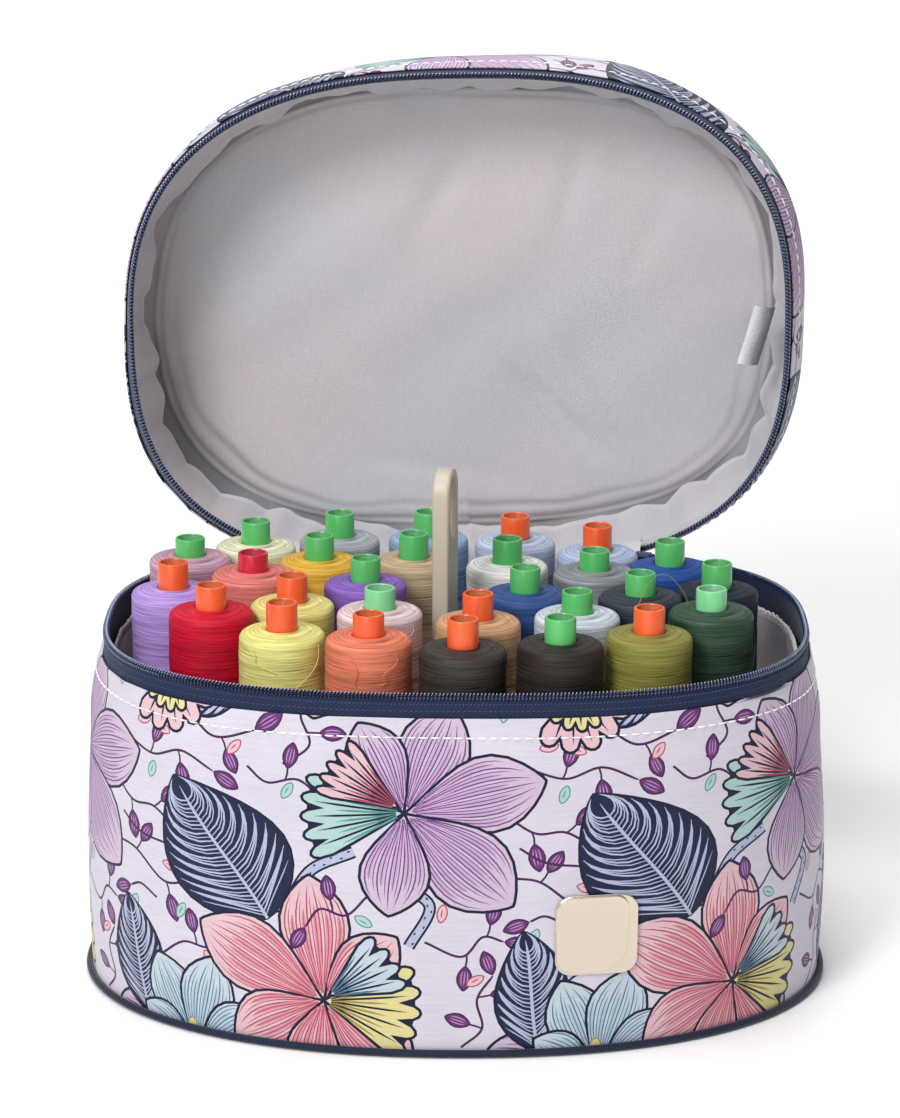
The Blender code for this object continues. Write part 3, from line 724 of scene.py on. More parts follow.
def woven_look(name, colour, light, roughness, pitches, height, twill=0.0, sheen=0.3):
    """Plain or twill cloth in one colour, its raised threads painted lighter, with uneven wear."""
    look = Look(name, roughness=roughness, Sheen_Weight=sheen, Sheen_Roughness=0.4, Specular_IOR_Level=0.3)
    cloth = look.cloth()
    warp, weft = look.waves(cloth, pitches, twill)
    if twill:
        weave = look.maths("ADD", look.maths("MULTIPLY", warp, 0.8), look.maths("MULTIPLY", weft, 0.2))
    else:
        weave = look.maths("MULTIPLY", warp, weft)
    wear = look.noise(cloth, 90, 4, 0.6)
    # painted highlight: the raised threads are lighter; the wear noise varies the tone at random
    share = look.spread(look.maths("ADD", weave, look.maths("MULTIPLY", wear, 1.2)), -0.6, 1.9, 0.0, 1.0)
    look.colour(look.tinted(colour, share, light))
    look.rough(look.spread(wear, 0.3, 0.7, roughness - 0.05, roughness + 0.08))
    look.bump(weave, height, 0.5)
    return look.made


def lining_look(name, crease_shaded=False):
    """Thin grey nylon: a faint square weave, a satin sheen and a slight pink shift of tone. It can also take
    painted shade in its folds and creases, from the mesh's colour attribute."""
    look = Look(name, roughness=0.5, Specular_IOR_Level=0.35, Sheen_Weight=0.25, Sheen_Roughness=0.35)
    cloth = look.cloth()
    warp, weft = look.waves(cloth, (0.0011, 0.0011))
    weave = look.maths("MULTIPLY", warp, weft)
    slubs = look.noise(look.stretched(cloth, (900, 140, 1)), 1.0, 2)
    cloudy = look.noise(cloth, 9, 2)
    base = look.tinted("bfbfc4", look.spread(cloudy, 0.40, 0.62, 0.0, 1.0), "c6bfc3")
    grain = look.noise(cloth, 900, 2)
    tone = look.maths("ADD", look.maths("MULTIPLY", weave, 0.03), look.spread(slubs, 0.3, 0.7, 0.94, 0.99))
    tone = look.maths("ADD", tone, look.spread(grain, 0.3, 0.7, -0.03, 0.05))
    # painted shade: the folds and creases are darkened by the mesh's colour attribute
    if crease_shaded:
        tone = look.maths("MULTIPLY", tone, look.node("VertexColor", layer_name="Ink_and_shade"))
    look.colour(look.shaded(base, tone))
    look.rough(look.spread(slubs, 0.3, 0.7, 0.46, 0.56))
    look.bump(look.maths("ADD", weave, slubs), 0.00009, 0.4)
    return look.made


def plastic_look(name, colour, other, roughness=0.4, grain=900.0, coat=0.0, painted_top_highlight=None):
    """Moulded plastic with a fine grain and faint flow marks. It can take a painted highlight where it faces
    up.
    """
    look = Look(name, roughness=roughness, Specular_IOR_Level=0.5, Coat_Weight=coat, Coat_Roughness=0.2)
    place = look.node("TexCoord", output=3)
    flow = look.noise(look.stretched(place, (40, 40, 12)), 1.0, 3)
    fine = look.noise(place, grain, 2)
    base = look.tinted(colour, look.spread(flow, 0.35, 0.7, 0.0, 1.0), other)
    # painted highlight: where the surface faces up, it is mixed towards a lighter colour
    if painted_top_highlight:
        upwards = look.parts(look.node("NewGeometry", output=1))[2]
        base = look.tinted(base, look.spread(upwards, 0.75, 1.0, 0.0, 1.0), painted_top_highlight)
    look.colour(base)
    look.rough(look.spread(fine, 0.3, 0.7, roughness - 0.06, roughness + 0.10))
    look.bump(fine, 0.00006, 0.5)
    return look.made


def metal_look(name, colour, roughness, brushed, metallic=1.0):
    """Metal with fine brushed lines and a few smudges."""
    look = Look(name, colour, roughness, Metallic=metallic)
    place = look.node("TexCoord", output=3)
    lines = look.noise(look.stretched(place, (2600, 60, 60)), 1.0, 3)
    smudges = look.noise(place, 60, 3)
    smeared = look.spread(smudges, 0.3, 0.7, roughness - 0.05, roughness + 0.08)
    look.rough(look.maths("ADD", smeared, look.maths("MULTIPLY", lines, 0.08)))
    look.bump(lines, 0.00003, brushed)
    return look.made


def thread_look(number, colour):
    """Wound sewing thread: near-level windings of uneven width that cross each other, and a soft sheen."""
    rgb = np.array(inked(colour))
    shine = dict(Specular_IOR_Level=0.2, Sheen_Weight=0.1, Sheen_Roughness=0.35)
    look = Look(f"thread_{number:02d}", roughness=0.5, **shine)
    look.shader.inputs["Sheen Tint"].default_value = (*(0.12 + 0.88 * rgb), 1)
    cloth = look.cloth()
    fine = look.noise(look.stretched(cloth, (45, 1700, 1), 0.012), 1.0, 2, 0.7)
    lay = look.noise(look.stretched(cloth, (34, 760, 1), 0.05), 1.0, 3, 0.6)
    cross = look.noise(look.stretched(cloth, (30, 640, 1), -0.06), 1.0, 3, 0.6)
    bands = look.noise(look.stretched(cloth, (16, 150, 1)), 1.0, 2, 0.5)
    lay, cross = (look.spread(windings, 0.25, 0.75, -0.5, 0.5) for windings in (lay, cross))
    streaks = look.maths("ADD", lay, cross)
    lines = look.maths("ADD", streaks, look.spread(fine, 0.25, 0.75, -0.6, 0.6))
    banded = look.maths("ADD", lines, look.spread(bands, 0.3, 0.7, -0.35, 0.35))
    share = look.spread(banded, -0.95, 0.95, 0.0, 1.0)
    # streaks: partly the thread's own tone, partly painted shade and sheen, the sheen lifted most on dark
    # thread
    black = max(0, 1 - rgb.mean() / 0.10)
    dark = tuple(rgb * (0.36 - 0.16 * black))
    light = tuple(np.clip(rgb * (1.32 + 0.9 * black) + 0.006, 0, 1))
    look.colour(look.tinted(dark, share, light))
    look.rough(look.spread(lines, -0.9, 0.9, 0.6, 0.42))
    look.bump(lines, 0.00016, 0.6)
    return look.made


def core_look(name, colour, other):
    """Glossy moulded plastic, with its bore painted bright, standing in for light that comes through it."""
    look = Look(name, roughness=0.32, Specular_IOR_Level=0.5, Coat_Weight=0.3, Coat_Roughness=0.2)
    place = look.node("TexCoord", output=3)
    # the profile runs up the bore, then round the outside, then down the bore again
    run = look.parts(look.cloth())[1]
    before = look.maths("LESS_THAN", run, REEL_HEIGHT - 0.0005)
    after = look.maths("GREATER_THAN", run, 2 * REEL_HEIGHT + 0.0024)
    flow = look.noise(look.stretched(place, (90, 90, 30)), 1.0, 3)
    outside = look.tinted(colour, look.spread(flow, 0.35, 0.7, 0.0, 1.0), other)
    # painted light: the bore is coloured brighter than the outside
    inside = tuple(np.clip(np.array(inked(colour)) ** 0.6 * 1.15, 0, 1))
    look.colour(look.tinted(outside, look.maths("ADD", before, after), inside))
    fine = look.noise(place, 700, 2)
    look.rough(look.spread(fine, 0.3, 0.7, 0.27, 0.42))
    look.bump(fine, 0.00005, 0.5)
    return look.made


PRINTED = print_look()
NAVY_TAPE = woven_look("zip_tape_cloth", "101830", "1c2a4c", 0.7, (0.0012, 0.0015), 0.0002, 0.9, sheen=0.12)
NAVY_CORD = woven_look("dark_binding", "0d1224", "1b2440", 0.7, (0.0011, 0.0011), 0.0002, 0.7)
WEBBING = woven_look("strap_webbing", "121c3c", "25366a", 0.7, (0.0022, 0.0016), 0.0004)
BASE_CLOTH = woven_look("base_cloth", "10131f", "1d2233", 0.75, (0.0012, 0.0012), 0.0002)
LINING_CLOTH = lining_look("lining_cloth")
# the lid's lining, with painted shade in its creases
CREASE_SHADED_LINING = lining_look("crease_shaded_lining_cloth", crease_shaded=True)
# the coil's lighter top colour is a painted highlight on its loops
COIL_NYLON = plastic_look("zip_coil_nylon", "16234a", "22345f", 0.20, 1200.0, 1.0, painted_top_highlight="aab8dc")
WHITE_THREAD = plastic_look("white_sewing_thread", "f4f2f0", "dedbe0", 0.6)
BLUE_THREAD = plastic_look("blue_sewing_thread", "33487a", "26396a", 0.5)
GREY_THREAD = plastic_look("grey_sewing_thread", "c6c3c6", "a5a2a6", 0.65)
BEIGE = plastic_look("beige_plastic", "c2b9a9", "b5ab99", 0.42)
TRAY_GREY = plastic_look("tray_plastic", "c3b9a8", "b8ad9a", 0.45)
CHAMPAGNE = metal_look("champagne_metal", "dccfbd", 0.24, 0.25)
NAVY_METAL = metal_look("navy_enamelled_metal", "1d2a52", 0.35, 0.1, metallic=0.55)

# ---------------------------------------------------------------- case
artwork = draw_tile()


def folded(past):
    """Cloth turned back past its edge, as (how far over the edge, how far in) it goes."""
    turn = np.minimum(np.clip(past, 0, None) / 0.0005, math.pi)
    return FOLD_R * np.sin(turn), FOLD_R * (1 - np.cos(turn)) * 0.9


def printed(name, surface, outline, shift, creases=(), **facts):
    """Printed cloth on a surface. outline is the flat piece's edge, and shift moves the print on it."""
    heights = [(c + shift[1]) * 1000 for c in creases]
    flat, triangles, inks_and_shades = cut_cloth(artwork, (np.asarray(outline) + shift) * 1000, heights)
    flat = flat / 1000 - shift
    points = surface(flat)
    step = 2e-4
    across = surface(flat + (step, 0)) - surface(flat - (step, 0))
    upwards = surface(flat + (0, step)) - surface(flat - (0, step))
    normals = np.cross(across, upwards)
    normals /= np.linalg.norm(normals, axis=1)[:, None] + 1e-12
    palette = {key: (*inked(value), 1.0) for key, value in INKS.items()}
    colours = np.repeat(np.array([palette[i] for i in inks_and_shades]), 3, axis=0)
    uv = flat[triangles.ravel()]
    return build(name, points, triangles, PRINTED, uv=uv, inks_and_shades=colours, normals=normals, **facts)


def case_cover():
    """The printed wall, with its top edge folded in behind the zip tape."""
    bottom, top = COVER_BOTTOM_Z, COVER_TOP_Z

    def surface(flat):
        over, inwards = folded(flat[:, 1] - top)
        return case_at(flat[:, 0], np.clip(flat[:, 1], bottom, top) + over, inwards)

    half = CASE_GIRTH / 2
    edge = [(-half, bottom), (half, bottom), (half, top + 0.0014), (-half, top + 0.0014)]
    creases = [top + d for d in (-0.0003, 0.0001, 0.0004, 0.0008, 0.0012)]
    shift = np.array((0.041, 0.004))
    facts = dict(body="case", slot="print_fabric", stands_for=("side_cover",))
    made = printed("case_cover", surface, edge, shift, creases, **facts)


case_cover()


def full(total):
    """The span of a closed band, starting at the middle of the back."""
    return (-total / 2, total / 2)


def zipped(total, angle_of):
    """The distances round the oval between which the zip runs, either side of the hinge at the back."""
    fine = np.linspace(-total / 2, total / 2, 4001)
    zip_run = fine[apart(angle_of(fine), BACK) > ZIP_END]
    return zip_run[0], zip_run[-1]


def coil(name, surface, span, z, inset, body, stands_for, pitch=0.0015):
    """The zip's chain: one nylon coil wound along the tape's edge."""
    turns = round((span[1] - span[0]) / pitch)
    us = np.linspace(span[0], span[1], turns * 12 + 1)
    here, _, upwards, out = frames(surface, us, z, inset)
    phase = np.linspace(0, 2 * math.pi * turns, len(us))[:, None]
    line = here + upwards * np.sin(phase) * 0.00112 + out * np.cos(phase) * 0.00088
    _, across, over = oriented(line, closed=False)
    points, faces = tube(line, across * 0.00046, over * 0.00046, 5, closed=False)
    build(name, points, faces, COIL_NYLON, body, "zip_coil", stands_for)
    points, faces = tube(here, out * 0.00042, upwards * 0.0006, 6, closed=False)
    build(name + "_core", points, faces, NAVY_CORD, body, "zip_coil")


def stitches(name, surface, body, span, z, inset, pitch, length, look, thick, lean):
    """A row of sewn stitches standing a little proud of the cloth, each dipping in at its ends."""
    count = round((span[1] - span[0]) / pitch)
    parts = []
    for i in range(count):
        start = span[0] + (span[1] - span[0]) * i / count
        share = np.linspace(0, 1, 5)
        here, _, upwards, out = frames(surface, start + share * length, z + lean * (share - 0.5), inset)
        hump = (np.sin(share * math.pi) ** 0.5)[:, None]
        line = here + out * (hump * thick * 1.1 - thick * 0.7)
        size = thick * (0.55 + 0.45 * hump)
        parts.append(tube(line, out * size, upwards * size, 5, closed=False))
    points, faces = gather(parts)
    build(name, points, faces, look, body)


def sheet_section(low, high, inset, thickness, levels=8):
    """Both faces of a sheet with a rounded top and bottom edge, as (z, inset) pairs going round it."""
    heights = np.linspace(low, high, levels)
    r = thickness / 2
    outer = [(z, inset) for z in heights]
    turns = np.linspace(0.5, math.pi - 0.5, 4)
    crown = [(high + r * math.sin(a), inset + r - r * math.cos(a)) for a in turns]
    inner = [(z, inset + thickness) for z in heights[::-1]]
    return outer + crown + inner


CASE_ZIP = zipped(CASE_GIRTH, case_angle)
LID_ZIP = zipped(LID_GIRTH, lid_angle)


def zip_tape(name, surface, span, low, high, body, node):
    """One half of the zip's tape: a strip that stands a little proud of the lining."""
    section = sheet_section(low, high, INSIDE - 0.0002, TAPE)
    facts = dict(closed=False, looped=True, slot="zip_tape", stands_for=(node,))
    return band(name, surface, span, section, NAVY_TAPE, body, **facts)


case_tape = zip_tape(
    "case_zip_tape", case_at, CASE_ZIP, TAPE_BOTTOM_Z, TAPE_TOP_Z + 0.0006, "case", "body_zip_tape"
)
coil("case_zip_coil", case_at, CASE_ZIP, RIM_Z - COIL_R, INSIDE - 0.0003, "case", ("body_zip_coil",))
# the case's rows of stitches: span, height, inset, pitch, length, thread, thickness and lean
for name, *facts in (
    ("case_zip_stitches", CASE_ZIP, 0.1427, INSIDE - 0.0002, 0.0015, 0.0012, BLUE_THREAD, 0.00030, 0.0007),
    ("case_zip_stitches_inner", CASE_ZIP, 0.1400, INSIDE - 0.0002, 0.0021, 0.0017, BLUE_THREAD, 0.00018, 0),
    ("case_topstitch", full(CASE_GIRTH), 0.1300, -0.0002, 0.0046, 0.0036, WHITE_THREAD, 0.00036, 0),
):
    stitches(name, case_at, "case", *facts)


def piping(name, surface, total, z, inset, body, node, radius=0.0015):
    """A round cord in binding, sewn along a seam."""
    us = np.linspace(-total / 2, total / 2, 721)[:-1]
    here, _, upwards, out = frames(surface, us, z, inset)
    points, _ = tube(here, out * radius, upwards * radius, 12)
    faces, corners = lattice(len(us) + 1, 12, closed=True)
    faces = [[i % len(points) for i in face] for face in faces]
    uv = np.stack([corners[:, 0] * total / len(us), corners[:, 1] * radius * 2 * math.pi / 12], 1)
    build(name, points, faces, NAVY_CORD, body, "base_fabric", (node,), uv=uv)


piping("case_base_piping", case_at, CASE_GIRTH, 0.0018, -0.0012, "case", "base_piping")


def oval_sheet(name, node, half, z, side, look, slot, rings=6, steps=160):
    """A flat oval piece of cloth on the base board, in rings of points. side is -1 where it faces down."""
    shares = np.linspace(0, 1, rings + 1)[1:]
    angles = np.linspace(0, 2 * math.pi, steps + 1)[:-1]
    x, y = oval(angles, *half, BASE_POWER)
    flat = np.concatenate([[[0, 0]], np.stack([shares[:, None] * x, shares[:, None] * y], -1).reshape(-1, 2)])
    faces = [(0, 1 + j, 1 + (j + 1) % steps) for j in range(steps)]
    for i in range(rings - 1):
        inner, outer = 1 + i * steps, 1 + (i + 1) * steps
        for j in range(steps):
            k = (j + 1) % steps
            faces.append((inner + j, outer + j, outer + k, inner + k))
    uv = np.concatenate([flat[list(f)] for f in faces])
    points = np.stack([flat[:, 0], side * flat[:, 1], z + 0 * flat[:, 0]], -1)
    made = build(name, points, faces, look, "case", slot, (node,), uv=uv)


under, over = (0.1474, 0.1016), (0.1420, 0.0965)
oval_sheet("case_base_cover", "base_cover", under, 0.0001, -1, BASE_CLOTH, "base_fabric")
oval_sheet("case_base_lining", "base_lining", over, 0.0040, 1, LINING_CLOTH, "lining")


def ruffled(u, z, low, high, amount, seed=0.0):
    """How far a loose lining stands off its wall: soft vertical gathers, strongest between its seams."""
    share = np.clip((z - low) / (high - low), 0, 1)
    gathers = np.sin(u * 210 + seed + 2.1 * np.sin(u * 31 + seed)) * 0.6 + np.sin(u * 377 + 1.7 * seed) * 0.4
    between = np.sin(math.pi * share)
    return amount * gathers * between**0.7 + amount * 0.8 * np.sin(u * 95 + z * 60 + seed) * between


def case_lining(u, z, inset):
    """A point on the case's loose lining."""
    return case_at(u, z, inset + ruffled(u, z, 0.0, LINING_TOP_Z + 0.004, 0.0009, 0.7))


def line_case():
    """The wall's lining, with its raw top edge overlocked."""
    around = full(CASE_GIRTH)
    section = sheet_section(FLOOR_Z, LINING_TOP_Z, LINING_INSET, 0.0006, 24)
    facts = dict(looped=True, slot="lining", stands_for=("side_lining", "side_foam"))
    made = band("case_lining", case_lining, around, section, LINING_CLOTH, "case", 480, **facts)
    us = np.linspace(*around, 2401)[:-1]
    loops = 2 * math.pi * us / (CASE_GIRTH / 190)
    level = LINING_TOP_Z + 0.0004 + 0.0009 * np.sin(loops + 1.2 * np.sin(us * 61)) + 0.0004 * np.sin(us * 333)
    here, _, upwards, out = frames(case_lining, us, level, LINING_INSET + 0.0004)
    points, faces = tube(here, out * 0.0005, upwards * 0.0006, 6)
    build("case_lining_fray", points, faces, GREY_THREAD, "case")
    for name, inset in (("case_overlock", 0.0003), ("case_overlock_inner", 0.0009)):
        facts = (around, 0.1334, LINING_INSET + inset, 0.0026, 0.0015, GREY_THREAD, 0.00050, 0.0040)
        stitches(name, case_lining, "case", *facts)


line_case()


# ---------------------------------------------------------------- lid
def lid_swell(u, z):
    """How far the soft gusset stands out between its two seams: most on the side that sags, and least where
    the hinge pulls it taut."""
    share = np.clip((z - LID_COVER_LOW) / (LID_COVER_HIGH - LID_COVER_LOW), 0, 1)
    angle = lid_angle(u)
    taut = 1 - 0.85 * bell(angle - 0.33 * math.pi, 0.45)
    slack = 0.0020 + 0.0026 * np.cos(angle) + 0.0005 * np.sin(u * 43) + 0.0004 * np.sin(u * 71 + z * 90)
    return np.maximum(slack * taut, 0.0002) * np.sin(math.pi * share)


def lid_cover():
    """The printed gusset, with its lower edge folded in behind the zip tape."""
    low, high = LID_COVER_LOW, LID_COVER_HIGH

    def surface(flat):
        over, inwards = folded(low - flat[:, 1])
        return lid_at(flat[:, 0], np.clip(flat[:, 1], low, high) - over, inwards - lid_swell(*flat.T))

    half = LID_GIRTH / 2
    edge = [(-half, low - 0.0014), (half, low - 0.0014), (half, high), (-half, high)]
    creases = [low + d for d in (-0.0012, -0.0008, -0.0004, -0.0001, 0.0003)]
    facts = dict(body="lid", slot="print_fabric", stands_for=("lid_side_cover", "lid_side_foam"))
    made = printed("lid_gusset_cover", surface, edge, np.array((0.030, 0.066)), creases, **facts)


lid_cover()


def lid_top():
    """The printed top panel, crowned a little by its padding."""
    half_x, half_y, power = lid_outline(LID_HEIGHT)
    angles = np.linspace(0, 2 * math.pi, 181)[:-1]
    x, y = oval(angles, half_x, half_y, power)

    def surface(flat):
        reach = (np.abs(flat[:, 0] / half_x) ** power + np.abs(flat[:, 1] / half_y) ** power) ** (1 / power)
        crown = 0.0026 * (1 - np.clip(reach, 0, 1) ** 5)
        return open_lid(np.stack([flat[:, 0], flat[:, 1], LID_HEIGHT - 0.0006 + crown], -1))

    facts = dict(body="lid", slot="print_fabric", stands_for=("lid_top_cover", "lid_board"))
    made = printed("lid_top_panel", surface, np.stack([x, y], 1), np.array((0.02, 0.04)), **facts)


lid_top()
piping("lid_edge_piping", lid_at, LID_GIRTH, LID_HEIGHT - 0.0004, -0.0010, "lid", "lid_piping")
lid_tape = zip_tape("lid_tape", lid_at, LID_ZIP, LID_TAPE_LOW, LID_TAPE_HIGH, "lid", "lid_zip_tape")
coil("lid_coil", lid_at, LID_ZIP, COIL_R + 0.0004, INSIDE + 0.0001, "lid", ("lid_zip_coil",))


def on_gusset(u, z, inset):
    """A point on the gusset's swollen cover."""
    return lid_at(u, z, inset - lid_swell(u, z))


zip_row = (LID_ZIP, 0.0054, INSIDE - 0.0002, 0.0017, 0.0015, BLUE_THREAD, 0.00020, 0.0004)
stitches("lid_zip_stitches", lid_at, "lid", *zip_row)
top_row = (full(LID_GIRTH), 0.0170, -0.0001, 0.0046, 0.0036, WHITE_THREAD, 0.00034, 0)
stitches("lid_topstitch", on_gusset, "lid", *top_row)

# long soft folds across the panel inside the lid: two ends, width and height
PANEL_FOLDS = (
    (0.012, -0.088, -0.022, -0.030, 0.0075, 0.0017),
    (0.052, -0.082, 0.040, -0.030, 0.0060, 0.0014),
    (0.022, 0.030, 0.056, 0.062, 0.0045, 0.0019),
    (0.034, 0.012, 0.060, 0.050, 0.0055, -0.0015),
    (-0.092, -0.030, -0.050, 0.030, 0.0100, 0.0018),
    (-0.040, 0.066, 0.020, 0.074, 0.0050, 0.0009),
    (-0.105, 0.010, -0.080, 0.052, 0.0060, 0.0010),
    (0.088, -0.050, 0.070, -0.010, 0.0060, 0.0009),
)
# the loose fold's section: how far each row is past the lip, and how far in
FOLD_ROWS = (
    (0.0008, 0.0007),
    (0.0015, 0.0011),
    (0.0022, 0.0009),
    (0.0025, 0.0001),
    (0.0023, -0.0013),
    (0.0024, -0.0028),
    (0.0034, -0.0036),
)
PANEL_EDGE_Z = 0.0604


def seam_inset(u):
    """How far in from the lid's side the loose lining's folded seam hangs, as (the seam behind it, the fold):
    deep at the front, shallow at the left, and gathered into scallops."""
    angle = lid_angle(u)
    front, back = np.maximum(np.sin(-angle), 0), np.maximum(np.sin(angle), 0)
    hang = 0.0042 + 0.0060 * front + 0.0035 * back + 0.0004 * np.cos(angle)
    gather = 0.0007 + 0.0012 * np.abs(np.cos(angle)) ** 1.5
    scallop = np.abs(np.sin(u * 104 + 1.9 * np.sin(u * 23))) - 0.6
    waves = 1.9 * scallop + np.sin(u * 57 + 2.0) + 0.5 * np.sin(u * 133)
    return hang + 0.0006 + 0.0004 * np.sin(u * 41), hang + gather * waves + 0.0002 * np.sin(u * 420)


def gusset_rows(us, seam, hang):
    """The gusset's lining as (z, inset) rows: from the zip to the loose fold and back to the seam."""
    left, right = np.clip(-np.cos(lid_angle(us)), 0, 1), np.clip(np.cos(lid_angle(us)), 0, 1)
    lip = 0.0545 - 0.0110 * left - 0.0040 * right
    rows = []
    for t in np.linspace(0, 1, 28):
        z = 0.0014 + (lip - 0.0014) * t
        loose = ruffled(us, z, -0.004, 0.062, 0.0011, 2.3) * min(1, 4 * t)
        rows.append((z, np.maximum(0.0026 + (hang - 0.0028) * t**1.6 + loose, 0.0022)))
    last = rows[-1][1]
    for dz, di in FOLD_ROWS:
        rows.append((lip + dz + 0.0006 * np.sin(us * 150), np.maximum(last + di, 0.0014)))
    start = lip + FOLD_ROWS[-1][0]
    for t in (0.4, 0.8, 1.0):
        last = rows[-1][1]
        inset = np.maximum(last + (seam - 0.0006 - last) * t, 0.0014)
        rows.append((start + (PANEL_EDGE_Z - start) * t, inset))
    return rows


def panel_slack(x, y):
    """How far the panel inside the lid rises from flat: a soft sag all over, and its long folds."""
    slack = 0.0013 * np.sin(x * 26 + y * 17 + 0.5) * np.cos(y * 21 - x * 9)
    slack = slack + 0.0008 * np.sin(x * 51 - y * 38) + 0.0004 * np.sin(x * 90 + y * 70 + 2 * np.sin(y * 40))
    for x0, y0, x1, y1, wide, high in PANEL_FOLDS:
        run = np.hypot(x1 - x0, y1 - y0)
        t = np.clip(((x - x0) * (x1 - x0) + (y - y0) * (y1 - y0)) / run**2, -0.3, 1.3)
        off = np.hypot(x - x0 - t * (x1 - x0), y - y0 - t * (y1 - y0))
        slack = slack + high * bell(off, wide) * bell(t - 0.5, 0.55, 4)
    return slack


def lining_cloth_uv(faces, points, us, gusset, total):
    """Flat cloth coordinates of each face corner: round the gusset, then straight across the panel."""
    steps = len(us)
    heights = np.concatenate([np.linspace(0, 0.062, gusset), np.zeros(total - gusset + 1)])
    uv = []
    for face in faces:
        on_gusset = max(face) // steps < gusset + 1 and min(face) // steps < gusset
        closing = max(i % steps for i in face) == steps - 1
        for i in face:
            row, column = divmod(i, steps)
            if on_gusset:
                column = steps if column == 0 and closing else column
                up = heights[min(row, gusset - 1)] + 0.001 * max(0, row - gusset + 1)
                uv.append((us[0] + column * LID_GIRTH / steps, up))
            else:
                uv.append(tuple(points[i][:2]))
    return np.array(uv)


def lid_lining():
    """The gusset's lining and the large panel inside the lid, in one: the gusset's hangs from the zip and
    ends in a loose gathered fold that stands over the edge of the panel, which has soft slack folds."""
    steps = 840
    us = np.linspace(-LID_GIRTH / 2, LID_GIRTH / 2, steps + 1)[:-1]
    angle = lid_angle(us)
    rows = gusset_rows(us, *seam_inset(us))
    points = np.stack([lid_side(angle, z, inset) for z, inset in rows])
    gusset = len(rows)
    edge = points[-1]
    shares = 1 - np.linspace(0, 1, 71)[1:-1] ** 1.25
    flat = shares[:, None, None] * edge[None, :, :2]
    share = shares[:, None] + 0 * flat[..., 0]
    slack = panel_slack(flat[..., 0], flat[..., 1])
    # the seam behind the fold, and a second, lower roll beside it on the hinge side
    off = (1 - share) * np.hypot(*edge[:, :2].T)
    low_side = np.clip(0.25 + 1.1 * np.sin(angle - 0.12), 0, 1) * (0.8 + 0.2 * np.sin(us * 37))
    drift = 0.0007 * np.sin(us * 61) + 0.0005 * np.sin(us * 133 + 1) + 0.0009 * np.sin(us * 27 + 2)
    slack = slack - 0.0011 * (0.65 + 0.35 * np.sin(us * 71 + 2)) * bell(off - 0.0016 - 0.4 * drift, 0.0009)
    slack = slack - 0.0024 * low_side * bell(off - 0.0064 - drift, 0.0021)
    pucker = 0.0014 * np.sin(us * 118 + 2.2 * np.sin(us * 29))[None, :] * np.exp(-((1 - share) / 0.06))
    level = edge[:, 2].mean()
    z = level + (edge[None, :, 2] - level) * share**12 + 0.0018 * (1 - share**5)
    z = z + pucker * (1 - share**60) + slack * (1 - share**4)
    panel = np.concatenate([flat, z[..., None]], -1)
    count = gusset + len(shares)
    middle = count * steps
    points = np.concatenate([*points, *panel, [[0, 0, z[-1].mean()]]])
    faces, _ = lattice(count, steps, closed=True)
    faces += [((count - 1) * steps + j, (count - 1) * steps + (j + 1) % steps, middle) for j in range(steps)]
    # painted shade: darker under the fold, beside the seam and the second roll, and a little next to the zip
    shade = np.ones((count, steps))
    shade[:4] = 0.80
    shade[4:8] = 0.92
    deep = 0.55 + 0.45 * np.clip(0.5 + 0.6 * low_side + 0.5 * np.sin(us * 47 + 1.3 * np.sin(us * 19)), 0, 1)
    shade[gusset - 6 : gusset - 1] = 1 - 0.60 * deep
    shade[gusset - 1] = 1 - 0.70 * deep
    shade[gusset:] = 1 - deep * (0.70 * bell(off, 0.0010) + 0.30 * bell(off - 0.0034 - 0.4 * drift, 0.0010))
    rolls = 0.22 * bell(off - 0.0032, 0.0016) + 0.36 * bell(off - 0.0098 - 1.3 * drift, 0.0016)
    shade[gusset:] -= low_side * (rolls + 0.10 * bell(off, 0.016))
    # the painted shade goes to the mesh's colour attribute
    painted_shade_greys = [*shade.flat, 1.0]
    inks_and_shades = [(painted_shade_greys[i], painted_shade_greys[i], painted_shade_greys[i], 1) for face in faces for i in face]
    uv = lining_cloth_uv(faces, points, us, gusset, count)
    facts = dict(slot="lining", stands_for=("lid_side_lining", "lid_top_lining"), uv=uv, inks_and_shades=inks_and_shades)
    made = build("lid_lining", open_lid(points), faces, CREASE_SHADED_LINING, "lid", **facts)


lid_lining()

# ---------------------------------------------------------------- thread reels
CORES = {
    "green": core_look("core_green_plastic", "55b766", "49ad5a"),
    "pale_green": core_look("core_pale_green_plastic", "84d498", "74ca8a"),
    "orange": core_look("core_orange_plastic", "ee5f2a", "e25322"),
    "crimson": core_look("core_crimson_plastic", "d01c3c", "bd1633"),
}
# Each reel's core, its thread's colour, and how much higher than the least full one it is wound
REELS = [
    ("green", "151a2e", 0.8), ("green", "1f4a96", 1.1), ("orange", "aebfdc", 0.3),
    ("orange", "b8c6de", 1.2), ("green", "93acd0", 0.8), ("green", "a8adb6", 0.8),
    ("green", "e6e1c0", 1.5), ("green", "c49ab0", 3.4), ("orange", "b496dc", 0.3),
    ("orange", "cc0630", 1.4), ("orange", "f8e28a", 0.0), ("orange", "e27e60", 2.3),
    ("orange", "302c27", 0.0), ("green", "261f1d", 1.2), ("orange", "8b8740", 1.1),
    ("pale_green", "304636", 2.8), ("green", "2a3039", 2.2), ("green", "868b91", 2.9),
    ("green", "e6e6de", 0.9), ("green", "bfa888", 0.6), ("green", "e2b040", 1.1),
    ("crimson", "de7c74", 3.4), ("orange", "f9dc86", 0.2), ("pale_green", "efcbd0", 2.5),
    ("orange", "d0a27a", 0.8), ("green", "ccd6df", 2.3), ("green", "8761b8", 1.5),
    ("green", "34508c", 1.2),
]
CORE_R, BORE_R, THREAD_R = 0.00605, 0.0048, 0.0168


